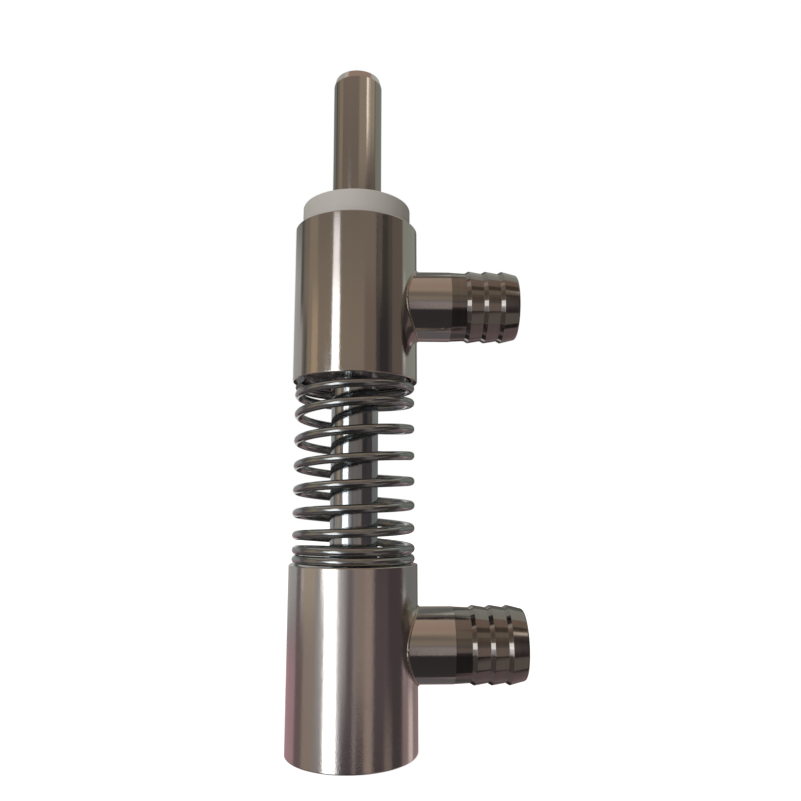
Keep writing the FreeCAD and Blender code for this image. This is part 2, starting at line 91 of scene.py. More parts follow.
def setting(kind, **limits):
    """A maker of one kind of property, from a name, a description and a default."""
    def make(name, description, default):
        return kind(name=name, description=description, default=default, **limits)
    return make


count = setting(bpy.props.IntProperty, min=1)
number = setting(bpy.props.FloatProperty)
share = setting(bpy.props.FloatProperty, min=0.0, max=1.0, subtype="FACTOR")
heading = setting(bpy.props.FloatProperty, subtype="ANGLE")
focal_length = setting(bpy.props.FloatProperty, unit="CAMERA")
power = setting(bpy.props.FloatProperty, unit="POWER")
length = setting(bpy.props.FloatProperty, unit="LENGTH", precision=5)
length_pair = setting(bpy.props.FloatVectorProperty, size=2, unit="LENGTH", precision=5)
position = setting(bpy.props.FloatVectorProperty, size=3, subtype="TRANSLATION", precision=5)
colour = setting(bpy.props.FloatVectorProperty, size=3, subtype="COLOR", min=0.0, max=1.0)


class NozzleSizes(bpy.types.PropertyGroup):
    """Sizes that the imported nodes' boxes don't give."""

    facets: count("Facets", "Faces round each turned piece", 144)
    edge: length("Edge", "Rounding of a turned piece's broken edges", 0.0002)
    rim: length("Rim", "Rounding of the two bodies' rims", 0.0003)
    clearance: length("Clearance", "Gap between fitted pieces", 0.00003)
    bore_wall: length("Bore wall", "Wall beside the plug and the seat ring", 0.0018)
    chamber_wall: length("Chamber wall", "Wall of both chambers", 0.003)
    mouth_depth: length("Mouth depth", "Depth of the bell's mouth below the gasket", 0.010)
    roof: length("Roof", "Thickness of the bell's roof", 0.008)
    floor: length("Floor", "Thickness of the upper body's floor", 0.006)
    bush_flange: length("Bush flange", "Height of the guide bush's flange", 0.003)
    bush_neck: length("Bush neck", "Radius of the guide bush's neck", 0.0095)
    bush_grooves: length_pair("Bush grooves", "Heights of its two inner grooves", (0.0078, 0.0044))
    running_gap: length("Running gap", "Gap between the guide bush and the stem", 0.00005)
    stem_radius: length("Stem", "Radius of the stem", 0.006)
    stem_bore: length("Stem bore", "Radius of the stem's return bore", 0.00275)
    bore_end: length("Bore end", "Length of that bore above the cross holes' centre", 0.004)
    stud: length("Stud", "Radius of the stem's threaded ends", 0.004)
    cross_hole: length("Cross hole", "Radius of the stem's cross holes", 0.00225)
    shank_lead: length("Shank lead", "Length of the shank's tapered top", 0.002)
    shank_lead_depth: length("Shank lead depth", "Depth of that taper", 0.00055)
    plug_edge: length("Plug edge", "Rounding of the plug's top edge", 0.0006)
    gasket_gap: length("Gasket gap", "Gap between the mouth gasket and the valve head", 0.0006)
    head_bevel: length("Head bevel", "Bevel below the valve head", 0.0007)
    head_rim: length("Head rim", "Height at which the valve head's cone starts", 0.0019)
    head_cone: length("Head cone", "Height and depth of that cone", 0.0028)
    head_neck: length("Head neck", "Rise from the cone to the valve head's neck", 0.001)
    head_base: length("Head base", "Thickness of the valve head below its thread", 0.0027)
    seat_gap: length("Seat gap", "Height of the seat's cone above the head's", 0.00066)
    seat_lap: length("Seat lap", "Width by which the seat ring covers the valve head", 0.002)
    seat_bevel: length("Seat bevel", "Bevel inside the seat ring's top", 0.0005)
    ring_section: length("Ring section", "Thickness of the sealing rings", 0.0018)
    tail_bore: length("Tail bore", "Radius of a hose tail's bore", 0.00675)
    tail_plain: length("Tail stub", "Radius of a hose tail's plain stub", 0.0091)
    tail_plain_reach: length("Tail stub reach", "Reach of the plain stub from the axis", 0.0245)
    shoulder: length("Shoulder", "Depth of the turned line at the stub's end", 0.00006)
    barb_valley: length("Barb valley", "Radius between two barbs", 0.00885)
    barb_first: length("First barb", "Reach of the first barb's crest", 0.0294)
    barbs: count("Barbs", "Barbs on a hose tail", 3)
    barb_pitch: length("Barb pitch", "Distance between two crests", 0.0043)
    barb_face: length("Barb face", "Reach of a barb's steeper face", 0.001)
    tip_radius: length("Tip", "Radius of a hose tail's tip", 0.0084)
    tip_rounding: length("Tip rounding", "Rounding of the tip's edge", 0.0006)
    weld_bead: length("Weld bead", "Radius of the weld bead at a tail's foot", 0.00035)
    wire: length("Wire", "Thickness of the spring's wire", 0.0022)
    wire_gap: length("Wire gap", "Gap between the spring's ends and the bodies", 0.00005)
    turns: number("Turns", "Turns of the spring", 9.0)
    coil_gap: length("Coil gap", "Gap between closed turns of the spring", 0.00005)
    closed_turns: number("Closed turns", "Closed turns at the spring's lower end", 1.2)
    opening_turns: number("Opening turns", "Turns over which the spring opens", 0.7)
    closing_turns: number("Closing turns", "Turns over which it closes at the top", 1.4)
    top_closed_turns: number("Closed turns on top", "Closed turns at its upper end", 0.6)
    pitch_growth: number("Pitch growth", "Growth of the open pitch from bottom to top", 1.35)
    lean: length("Lean", "Swing that lays the spring's end coils flat", 0.0005)


class NozzleFinish(bpy.types.PropertyGroup):
    """Colours and finishes of the nozzle's materials."""

    steel: colour("Steel", "Polished stainless steel", (0.62, 0.60, 0.575))
    steel_gloss: share("Steel roughness", "Roughness of the polished tubes", 0.09)
    stem: colour("Stem", "Drawn steel of the stem", (0.50, 0.54, 0.56))
    barbs: colour("Barbs", "Turned steel of the barbs", (0.30, 0.285, 0.27))
    wire: colour("Wire", "Drawn spring wire", (0.41, 0.44, 0.445))
    wire_gloss: share("Wire roughness", "Roughness of the spring wire", 0.17)
    plastic: colour("Plastic", "White fluoroplastic", (0.43, 0.425, 0.41))
    rubber: colour("Rubber", "Black seal rubber", (0.02, 0.02, 0.021))
    silicone: colour("Silicone", "Pale gasket silicone", (0.62, 0.60, 0.55))
    grain: length("Grain", "Size of the polished steel's grain", 0.00028)
    grain_depth: length("Grain depth", "Depth of that grain", 0.0000065)
    bell_grain_depth: length("Bell grain depth", "Depth of the grain on the bell", 0.000012)
    bell_dullness: number("Bell dullness", "Roughness of the bell, in times the other tubes'", 1.45)
    marks_depth: length("Marks depth", "Depth of the marks on the barbs and the wire", 0.000004)
    straw: colour("Straw", "Tint that the heat leaves on the weld beads", (0.5, 0.43, 0.34))
    ripple_depth: length("Ripple depth", "Depth of the weld beads' ripples", 0.00003)


class NozzleStudio(bpy.types.PropertyGroup):
    """The camera, the lamp and the floor."""

    camera_place: position("Camera", "Place of the camera", (0.0058, -0.1827, 0.056))
    camera_turn: heading("Camera turn", "Turn away from +Y", math.radians(1.863))
    camera_tilt: heading("Camera tilt", "Tilt above level", math.radians(9.041))
    lens: focal_length("Lens", "Focal length in millimetres", 32.24)
    lamp_power: power("Lamp", "Power of the soft lamp in watts", 7.0)
    lamp_size: length("Lamp size", "Side of the soft lamp", 0.7)
    lamp_place: position("Lamp place", "Place of the lamp", (-0.35, -0.85, 0.7))
    lamp_aim: position("Lamp aim", "Point that the lamp faces", (0.0, 0.0, 0.09))
    floor_reach: length("Floor reach", "Half the side of the floor", 4.0)
    floor_drop: length("Floor drop", "Gap between the bell and the floor", 0.0002)
    glow_start: length("Glow start", "Distance out to which the floor glows least", 0.05)
    glow_end: length("Glow end", "Distance from which it glows fully", 0.5)
    least_glow: share("Least glow", "Glow of the floor near the nozzle", 0.8)
    floor: colour("Floor", "The pale floor", (0.75, 0.75, 0.75))


# Turning: an outline of (radius, along, rounding) corners, spun round the stem or a hose tail

ARC_STEPS = 4
TAIL_BORE_FACETS = 96
CROSS_HOLE_FACETS = 48

# Lengths in metres and an angle in radians, below which two places or two ways count as one
ON_AXIS = 1e-7
ON_OUTLINE = 2e-5
SHORTEST_RUN = 1e-8
STRAIGHT_ANGLE = 1e-4

# Decimals to which the ends of two runs agree, and the cosine by which a face belongs to a bore
POINT_DIGITS = 9
BORE_AGREEMENT = 0.9


def left_of(direction):
    """The direction a quarter turn to the left."""
    return Vector((-direction.y, direction.x))


def rounded_outline(corners):
    """The outline's short straight runs, each (start, end, normal at start, normal at end)."""
    points = [Vector(corner[:2]) for corner in corners]
    ways = [(after - before).normalized() for before, after in zip(points, points[1:] + points[:1])]
    runs = []
    arcs = []
    for index, corner in enumerate(corners):
        rounding = corner[2] if len(corner) > 2 else 0.0
        before, after = ways[index - 1], ways[index]
        turn = before.angle_signed(after) * -1
        back = rounding * math.tan(abs(turn) / 2)
        arc = [points[index]]
        if rounding and abs(turn) > STRAIGHT_ANGLE:
            side = math.copysign(1.0, turn)
            start = points[index] - before * back
            centre = start + left_of(before) * rounding * side
            arm = start - centre
            arc = []
            for step in range(ARC_STEPS + 1):
                angle = turn * step / ARC_STEPS
                arc.append(centre + Vector((arm.x * math.cos(angle) - arm.y * math.sin(angle),
                                            arm.x * math.sin(angle) + arm.y * math.cos(angle))))
            for low, high in zip(arc, arc[1:]):
                runs.append((low, high, (low - centre) * side, (high - centre) * side))
        arcs.append(arc)
    for index, arc in enumerate(arcs):
        start, end = arc[-1], arcs[(index + 1) % len(arcs)][0]
        if (end - start).length > SHORTEST_RUN:
            normal = left_of(ways[index]) * -1
            runs.append((start, end, normal, normal))
    return runs


def ordered(runs):
    """The runs end to end, as one closed line."""
    following = {run[0].to_tuple(POINT_DIGITS): run for run in runs}
    line = runs[:1]
    while len(line) < len(runs):
        line.append(following[line[-1][1].to_tuple(POINT_DIGITS)])
    return line


def in_space(across, along, angle, axis):
    """The point at a radius and a place along the axis, turned by an angle."""
    if axis == "X":
        return Vector((along, across * math.cos(angle), across * math.sin(angle)))
    return Vector((across * math.cos(angle), across * math.sin(angle), along))


def turned(name, corners, facets, axis="Z"):
    """A closed piece turned from its outline. Returns the object and the runs for its normals."""
    runs = ordered(rounded_outline(corners))
    piece = bmesh.new()
    rings = []
    for start, _end, _first, _last in runs:
        if start.x < ON_AXIS:
            rings.append([piece.verts.new(in_space(0.0, start.y, 0.0, axis))] * facets)
            continue
        rings.append([piece.verts.new(in_space(start.x, start.y, math.tau * step / facets, axis))
                      for step in range(facets)])
    for index, ring in enumerate(rings):
        following = rings[(index + 1) % len(rings)]
        for step in range(facets):
            ahead = (step + 1) % facets
            face = []
            for corner in (ring[step], ring[ahead], following[ahead], following[step]):
                if corner not in face:
                    face.append(corner)
            if len(face) > 2:
                piece.faces.new(face)
    mesh = bpy.data.meshes.new(name)
    piece.to_mesh(mesh)
    piece.free()
    return placed(name, mesh), runs


def polish(item, runs, axis="Z", bores=()):
    """Gives every corner the exact normal of the outline or the bore that made it."""
    mesh = item.data
    bases = []
    for start, end, first, last in runs:
        way = end - start
        bases.append((start, way, way.length_squared, first.normalized(), last.normalized()))
    normals = [None] * len(mesh.loops)
    for face in mesh.polygons:
        face.use_smooth = True
        centre = flat_place(face.center, axis)
        best = min(bases, key=lambda base: run_distance(centre, base))
        if run_distance(centre, best) > ON_OUTLINE:
            bore_normals(mesh, face, bores, normals)
            continue
        start, way, reach, first, last = best
        for loop in face.loop_indices:
            place = mesh.vertices[mesh.loops[loop].vertex_index].co
            flat = flat_place(place, axis)
            part = min(max((flat - start).dot(way) / reach, 0.0), 1.0)
            slope = first.lerp(last, part).normalized()
            around = face.center if flat.x < ON_AXIS else place
            normals[loop] = tilted(slope, around, axis)
    mesh.normals_split_custom_set(normals)


def flat_place(place, axis):
    """(radius, along) of a point."""
    if axis == "X":
        return Vector((math.hypot(place.y, place.z), place.x))
    return Vector((math.hypot(place.x, place.y), place.z))


def run_distance(centre, base):
    """How far a point lies from a run."""
    start, way, reach, _first, _last = base
    part = min(max((centre - start).dot(way) / reach, 0.0), 1.0)
    return (start + way * part - centre).length


def tilted(slope, around, axis):
    """An outline normal turned to the side that a point is on."""
    angle = math.atan2(around.z, around.y) if axis == "X" else math.atan2(around.y, around.x)
    return in_space(slope.x, slope.y, angle, axis)


def bore_normals(mesh, face, bores, normals):
    """Normals of a face left by a bore, each (point on its line, direction), or else flat ones."""
    for point, direction in bores:
        arms = []
        for loop in face.loop_indices:
            arm = point - mesh.vertices[mesh.loops[loop].vertex_index].co
            arms.append((arm - direction * arm.dot(direction)).normalized())
        if all(arm.dot(face.normal) > BORE_AGREEMENT for arm in arms):
            for loop, arm in zip(face.loop_indices, arms):
                normals[loop] = arm
            return
    for loop in face.loop_indices:
        normals[loop] = face.normal.copy()


def bored(item, point, direction, hole_radius, depth, facets):
    """Cuts a round hole that starts at a point."""
    cutter_mesh = bpy.data.meshes.new("cutter")
    drill = bmesh.new()
    bmesh.ops.create_cone(drill, cap_ends=True, segments=facets, radius1=hole_radius,
                          radius2=hole_radius, depth=depth)
    bmesh.ops.rotate(drill, verts=drill.verts, matrix=direction.to_track_quat("Z", "Y").to_matrix())
    bmesh.ops.translate(drill, verts=drill.verts, vec=point + direction * depth / 2)
    drill.to_mesh(cutter_mesh)
    drill.free()
    cutter = placed("cutter", cutter_mesh)
    boolean = item.modifiers.new("Bore", "BOOLEAN")
    boolean.object = cutter
    boolean.solver = "EXACT"
    settle(item)
    bpy.data.objects.remove(cutter)


def placed(name, data):
    """A new object in the scene."""
    item = bpy.data.objects.new(name, data)
    bpy.context.scene.collection.objects.link(item)
    return item


def settle(item):
    """Turns the object's modifiers into plain mesh."""
    graph = bpy.context.evaluated_depsgraph_get()
    mesh = bpy.data.meshes.new_from_object(item.evaluated_get(graph), preserve_all_data_layers=True,
                                           depsgraph=graph)
    item.modifiers.clear()
    item.data = mesh
    mesh.name = item.name


def ring_room(ring, sizes):
    """Heights between which a sealing ring's groove lies."""
    return bottom(ring) - sizes.clearance, top(ring) + sizes.clearance


def groove(wall, floor, start, end):
    """The four corners of a groove, from the wall that it is cut in to its floor and back."""
    return [(wall, start), (floor, start), (floor, end), (wall, end)]


def turned_piece(node, body, slot, material, sizes, corners, bores=()):
    """Turns one piece and cuts its bores, each (point, direction, radius, depth, facets)."""
    item, runs = turned(node, corners, sizes.facets)
    for bore in bores:
        bored(item, *bore)
    polish(item, runs, bores=[bore[:2] for bore in bores])
    dress(item, body, node, slot, material)


def dress(item, body, node, slot, *materials):
    """Gives a piece its materials and body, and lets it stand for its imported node."""
    for material in materials:
        item.data.materials.append(material)
    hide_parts(node)
    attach(item, body)


# Materials

# Spans that most values of a noise node lie in, at its usual detail and at the grain's
NOISE_SPREAD = (0.3, 0.7)
GRAIN_SPREAD = (0.35, 0.65)

# A polished tube's roughness in times its gloss: where it shines most, and where it is clean and smeared
SHINIEST = 0.6
CLEAN = 1.2
SMEARED = 1.7

# How many times deeper the polished grain is than the rings that the polishing leaves
GRAIN_TO_RINGS = 12

# Stretch of the wire's marks: units along it for one unit round it, in metres and wire radii
STREAKS_ALONG = 25.0
SCUFFS_ALONG = 700.0


def kept(name, paint, *options):
    """A node material that is made once and then shared; paint links its surface."""
    material = bpy.data.materials.get(name)
    if not material:
        material = bpy.data.materials.new(name)
        material.use_nodes = True
        place = added(material.node_tree, "TexCoord", {}).outputs["Object"]
        paint(material.node_tree, place, *options)
    return material


def added(tree, kind, inputs, **options):
    """A new shader node; each of its inputs is linked to a socket or set to a value."""
    node = tree.nodes.new("ShaderNode" + kind)
    for option, value in options.items():
        setattr(node, option, value)
    for key, value in inputs.items():
        if isinstance(value, bpy.types.NodeSocket):
            tree.links.new(value, node.inputs[key])
        else:
            node.inputs[key].default_value = value
    return node


def maths(tree, operation, first, second=None):
    """One math node; each input is a socket or a number."""
    inputs = {0: first} if second is None else {0: first, 1: second}
    return added(tree, "Math", inputs, operation=operation).outputs[0]


def noise(tree, vector, size, detail=2.0):
    """Noise whose grains are about that size, in metres."""
    inputs = {"Vector": vector, "Scale": 1.0 / size, "Detail": detail}
    return added(tree, "TexNoise", inputs).outputs["Fac"]


def stretched(tree, vector, scale):
    """Coordinates scaled along each axis."""
    return added(tree, "VectorMath", {0: vector, 1: scale}, operation="MULTIPLY").outputs[0]


def carried(tree, value, start, end, low, high, way="LINEAR"):
    """A value carried over from the range start to end, to the range low to high."""
    inputs = {"Value": value, "From Min": start, "From Max": end, "To Min": low, "To Max": high}
    return added(tree, "MapRange", inputs, interpolation_type=way).outputs["Result"]


def ranged(tree, value, low, high):
    """A noise value spread between two numbers."""
    return carried(tree, value, *NOISE_SPREAD, low, high)


def bump(tree, height, depth, below=None):
    """Relief of a depth in metres, on top of other relief."""
    inputs = {"Strength": 1.0, "Distance": depth, "Height": height}
    if below:
        inputs["Normal"] = below
    return added(tree, "Bump", inputs).outputs["Normal"]


def blended(tree, value, first, second):
    """A colour between two by a value; the first may be a socket."""
    start = first if isinstance(first, bpy.types.NodeSocket) else (*first, 1.0)
    inputs = {"Factor": value, "A": start, "B": (*second, 1.0)}
    return added(tree, "Mix", inputs, data_type="RGBA").outputs["Result"]


def surface(tree, tone, roughness, relief=None, metal=1.0):
    """Links a surface's tone, roughness and relief to its shader."""
    main = tree.nodes["Principled BSDF"]
    tree.links.new(tone, main.inputs["Base Color"])
    tree.links.new(roughness, main.inputs["Roughness"])
    if relief:
        tree.links.new(relief, main.inputs["Normal"])
    main.inputs["Metallic"].default_value = metal
    return main


def let_light_in(main, weight, reach):
    """Lets light a little way into a pale surface."""
    main.inputs["Subsurface Weight"].default_value = weight
    main.inputs["Subsurface Radius"].default_value = (reach, reach, reach)


def shaded(base, factor):
    """A colour made darker or lighter."""
    return tuple(min(part * factor, 1.0) for part in base)


def polished_steel(tree, place, finish, base, depth, axis="Z", gloss=1.0):
    """Polished tube: fine grain that breaks up highlights, and rings left by the polishing."""
    grain = noise(tree, place, finish.grain, detail=1.0)
    rings = noise(tree, stretched(tree, place, ring_scale(axis)), size=0.0004)
    smears = noise(tree, place, size=0.009)
    roughness = finish.steel_gloss * gloss
    dullest = ranged(tree, smears, roughness * CLEAN, roughness * SMEARED)
    surface(tree, blended(tree, smears, base, shaded(base, factor=0.93)),
            carried(tree, grain, *GRAIN_SPREAD, roughness * SHINIEST, dullest),
            bump(tree, rings, finish.grain_depth / GRAIN_TO_RINGS, bump(tree, grain, depth)))


def ring_scale(axis):
    """Stretch that turns noise into rings about an axis."""
    drawn_out = 0.03
    return (1.0, drawn_out, drawn_out) if axis == "X" else (drawn_out, drawn_out, 1.0)


def barb_steel(tree, place, finish):
    """Steel as the lathe leaves it on the barbs: fine rings, less polish."""
    lengthways = stretched(tree, place, ring_scale("X"))
    marks = noise(tree, lengthways, size=0.00025, detail=3.0)
    bands = noise(tree, lengthways, size=0.0009, detail=1.0)
    surface(tree, blended(tree, bands, shaded(finish.barbs, factor=0.85), finish.barbs),
            ranged(tree, bands, low=0.07, high=0.12), bump(tree, marks, finish.marks_depth))


def weld_steel(tree, place, finish):
    """The weld bead: rippled, with a faint straw tint."""
    ripple = noise(tree, place, size=0.0005)
    tint = noise(tree, place, size=0.002)
    surface(tree, blended(tree, tint, shaded(finish.steel, factor=0.7), finish.straw),
            ranged(tree, ripple, low=0.22, high=0.34), bump(tree, ripple, finish.ripple_depth))


def spring_wire(tree, _place, finish):
    """Drawn wire: streaks that run along it, with a few pale scuffs."""
    along = added(tree, "Attribute", {}, attribute_name="along").outputs["Fac"]
    around = added(tree, "Attribute", {}, attribute_name="around").outputs["Vector"]
    split = added(tree, "SeparateXYZ", {0: around}).outputs
    wire_place = added(tree, "CombineXYZ", {"X": split["X"], "Y": split["Y"], "Z": along}).outputs[0]
    streaks = noise(tree, stretched(tree, wire_place, (1.0, 1.0, STREAKS_ALONG)), size=0.3)
    scuffs = noise(tree, stretched(tree, wire_place, (1.0, 1.0, SCUFFS_ALONG)), size=0.5, detail=3.0)
    clearer = ranged(tree, streaks, low=0.0, high=1.0)
    surface(tree, blended(tree, clearer, shaded(finish.wire, factor=0.8), finish.wire),
            ranged(tree, scuffs, low=finish.wire_gloss * 0.7, high=finish.wire_gloss * 1.4),
            bump(tree, streaks, finish.marks_depth))


def circlip_steel(tree, place, finish):
    """Blued spring steel of the retaining ring."""
    patches = noise(tree, place, size=0.0015)
    dark, pale = shaded(finish.wire, factor=0.35), shaded(finish.wire, factor=0.6)
    surface(tree, blended(tree, patches, dark, pale), ranged(tree, patches, low=0.3, high=0.45))


def white_plastic(tree, place, finish):
    """Turned white plastic: soft sheen and faint tool rings."""
    rings = noise(tree, stretched(tree, place, ring_scale("Z")), size=0.0003, detail=3.0)
    cloud = noise(tree, place, size=0.004)
    main = surface(tree, blended(tree, cloud, finish.plastic, shaded(finish.plastic, factor=0.92)),
                   ranged(tree, cloud, low=0.45, high=0.58), bump(tree, rings, depth=0.000006),
                   metal=0.0)
    let_light_in(main, weight=0.15, reach=0.0008)


def seal_rubber(tree, place, finish):
    """Moulded black rubber with a dusty bloom."""
    bloom = noise(tree, place, size=0.0012)
    pores = noise(tree, place, size=0.0002)
    surface(tree, blended(tree, bloom, finish.rubber, shaded(finish.rubber, factor=1.8)),
            ranged(tree, bloom, low=0.5, high=0.7), bump(tree, pores, depth=0.000006), metal=0.0)


def gasket_silicone(tree, place, finish):
    """Moulded pale silicone, a little see-through at its edges."""
    cloud = noise(tree, place, size=0.003)
    pores = noise(tree, place, size=0.0003)
    main = surface(tree, blended(tree, cloud, finish.silicone, shaded(finish.silicone, factor=0.9)),
                   ranged(tree, cloud, low=0.35, high=0.5), bump(tree, pores, depth=0.000008),
                   metal=0.0)
    let_light_in(main, weight=0.2, reach=0.001)


def steel(finish):
    """The polished steel that most turned pieces share."""
    return kept("Polished steel", polished_steel, finish, finish.steel, finish.grain_depth)


def plastic(finish):
    """The white plastic that the plug, bush and washers share."""
    return kept("White plastic", white_plastic, finish)


# A round bar along a path, for the spring and the weld beads

WIRE_POINTS_PER_TURN = 64
WIRE_FACETS = 24
BEAD_POINTS = 160
BEAD_FACETS = 16


def bar_tree():
    """Geometry nodes: a round bar along the input mesh's edges, with coordinates round and along it."""
    tree = bpy.data.node_groups.get("Round bar")
    if tree:
        return tree
    tree = bpy.data.node_groups.new("Round bar", "GeometryNodeTree")
    for name, kind in (("Geometry", "Geometry"), ("Bar radius", "Float"), ("Section points", "Int"),
                       ("Material", "Material")):
        tree.interface.new_socket(name, in_out="INPUT", socket_type="NodeSocket" + kind)
    tree.interface.new_socket("Geometry", in_out="OUTPUT", socket_type="NodeSocketGeometry")
    nodes, links = tree.nodes, tree.links
    given = nodes.new("NodeGroupInput")
    path = nodes.new("GeometryNodeMeshToCurve")
    upright = nodes.new("GeometryNodeSetCurveNormal")
    upright.mode = "Z_UP"
    section = nodes.new("GeometryNodeCurvePrimitiveCircle")
    marked = nodes.new("GeometryNodeCaptureAttribute")
    marked.capture_items.new("FLOAT", "Turn")
    sweep = nodes.new("GeometryNodeCurveToMesh")
    sweep.inputs["Fill Caps"].default_value = True
    store = nodes.new("GeometryNodeStoreNamedAttribute")
    store.data_type = "FLOAT_VECTOR"
    store.domain = "POINT"
    store.inputs["Name"].default_value = "around"
    smooth = nodes.new("GeometryNodeSetShadeSmooth")
    real = nodes.new("GeometryNodeRealizeInstances")
    paint = nodes.new("GeometryNodeSetMaterial")
    links.new(given.outputs["Section points"], section.inputs["Resolution"])
    links.new(given.outputs["Bar radius"], section.inputs["Radius"])
    links.new(section.outputs["Curve"], marked.inputs["Geometry"])
    links.new(nodes.new("GeometryNodeSplineParameter").outputs["Factor"], marked.inputs["Turn"])
    links.new(marked.outputs["Geometry"], sweep.inputs["Profile Curve"])
    angle = maths(tree, "MULTIPLY", marked.outputs["Turn"], math.tau)
    around = added(tree, "CombineXYZ", {"X": maths(tree, "COSINE", angle),
                                        "Y": maths(tree, "SINE", angle)})
    links.new(around.outputs["Vector"], store.inputs["Value"])
    links.new(given.outputs["Material"], paint.inputs["Material"])
    row = [given, path, upright, sweep, store, smooth, real, paint, nodes.new("NodeGroupOutput")]
    for before, after in zip(row, row[1:]):
        links.new(before.outputs[0], after.inputs[0])
    return tree


def bar_along(name, points, bar_radius, section_points, material, closed=False, marks=()):
    """A round bar along the points; marks are named values, one for each point."""
    mesh = bpy.data.meshes.new(name)
    edges = [(index, index + 1) for index in range(len(points) - 1)]
    if closed:
        edges.append((len(points) - 1, 0))
    mesh.from_pydata(points, edges, [])
    travelled = [0.0]
    for before, after in zip(points, points[1:]):
        travelled.append(travelled[-1] + (after - before).length)
    for mark, values in (("along", travelled), *marks):
        mesh.attributes.new(mark, "FLOAT", "POINT").data.foreach_set("value", values)
    item = placed(name, mesh)
    modifier = item.modifiers.new("Round bar", "NODES")
    modifier.node_group = bar_tree()
    inputs = {socket.name: socket.identifier for socket in modifier.node_group.interface.items_tree
              if socket.in_out == "INPUT"}
    modifier[inputs["Bar radius"]] = bar_radius
    modifier[inputs["Section points"]] = section_points
    modifier[inputs["Material"]] = material
    settle(item)
    return item


# The two bodies

class NOZZLE_OT_bodies(bpy.types.Operator):
    """Turns the bell and the upper body, and bores their walls for the hose tails"""
    bl_idname = "nozzle.bodies"
    bl_label = "Tubular bodies"

    def execute(self, context):
        sizes, finish = context.scene.nozzle_sizes, context.scene.nozzle_finish
        bell_steel = kept("Polished bell steel", polished_steel, finish, finish.steel,
                          finish.bell_grain_depth, "Z", finish.bell_dullness)
        make_body("lower_body", "bell_unit", lower_body_outline(sizes), "lower_hose_tail", sizes,
                  bell_steel)
        make_body("upper_body", "stem_unit", upper_body_outline(sizes), "upper_hose_tail", sizes,
                  steel(finish))
        return {"FINISHED"}


def lower_body_outline(sizes):
    """The bell: mouth, gasket groove, seat ring's bore, chamber with its circlip groove, and roof."""
    outer = radius("lower_body")
    bore = outer - sizes.bore_wall
    chamber = outer - sizes.chamber_wall
    gasket_floor = radius("mouth_gasket") + sizes.clearance
    clip_floor = radius("bush_retaining_ring") + sizes.clearance
    roof = top("lower_body") - sizes.roof
    hole = sizes.bush_neck + sizes.clearance
    return [
        (bore, 0.0, sizes.edge),
        (outer, 0.0, sizes.rim),
        (outer, top("lower_body"), sizes.rim),
        (hole, top("lower_body"), sizes.edge),
        (hole, roof),
        (chamber, roof),
        *groove(chamber, clip_floor, bottom("guide_bush"), bottom("bush_retaining_ring")),
        (chamber, top("seat_ring")),
        (bore, top("seat_ring")),
        *groove(bore, gasket_floor, top("mouth_gasket"), sizes.mouth_depth),
    ]


def upper_body_outline(sizes):
    """The return chamber, with its floor and the plug's seat."""
    outer = radius("upper_body")
    bore = outer - sizes.bore_wall
    chamber = outer - sizes.chamber_wall
    hole = sizes.stem_radius + sizes.clearance
    base = bottom("upper_body")
    return [
        (hole, base, sizes.edge),
        (outer, base, sizes.rim),
        (outer, top("upper_body"), sizes.rim),
        (bore, top("upper_body"), sizes.edge),
        (bore, bottom("cap_plug")),
        (chamber, bottom("cap_plug")),
        (chamber, base + sizes.floor),
        (hole, base + sizes.floor),
    ]


def tail_height(tail):
    """Height of a hose tail's centre line."""
    low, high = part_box(tail)
    return (low.z + high.z) / 2


def make_body(node, body, outline, tail, sizes, material):
    """One tubular body with its side hole."""
    bore = (Vector((0.0, 0.0, tail_height(tail))), Vector((1.0, 0.0, 0.0)), sizes.tail_bore,
            radius(node) * 2, TAIL_BORE_FACETS)
    turned_piece(node, body, "polished_steel", material, sizes, outline, [bore])


# Hose tails with their weld beads

class NOZZLE_OT_hose_tails(bpy.types.Operator):
    """Turns the barbed hose tails, seats them on the bodies and lays their weld beads"""
    bl_idname = "nozzle.hose_tails"
    bl_label = "Hose tails"

    def execute(self, context):
        sizes, finish = context.scene.nozzle_sizes, context.scene.nozzle_finish
        make_hose_tail("lower_hose_tail", "bell_unit", "lower_body", sizes, finish)
        make_hose_tail("upper_hose_tail", "stem_unit", "upper_body", sizes, finish)
        return {"FINISHED"}


def tail_outline(sizes, foot, tip, crest):
    """A hose tail from its foot to its tip, (radius, reach, rounding)."""
    corners = [
        (sizes.tail_bore, tip, sizes.edge),
        (sizes.tail_bore, foot),
        (sizes.tail_plain, foot),
        (sizes.tail_plain, sizes.tail_plain_reach),
        (sizes.tail_plain - sizes.shoulder, sizes.tail_plain_reach),
    ]
    for barb in range(sizes.barbs):
        reach = sizes.barb_first + barb * sizes.barb_pitch
        corners.append((sizes.barb_valley, reach - sizes.barb_face, sizes.edge / 2))
        corners.append((crest, reach, sizes.edge / 2))
    corners.append((sizes.tip_radius, tip, sizes.tip_rounding))
    return corners


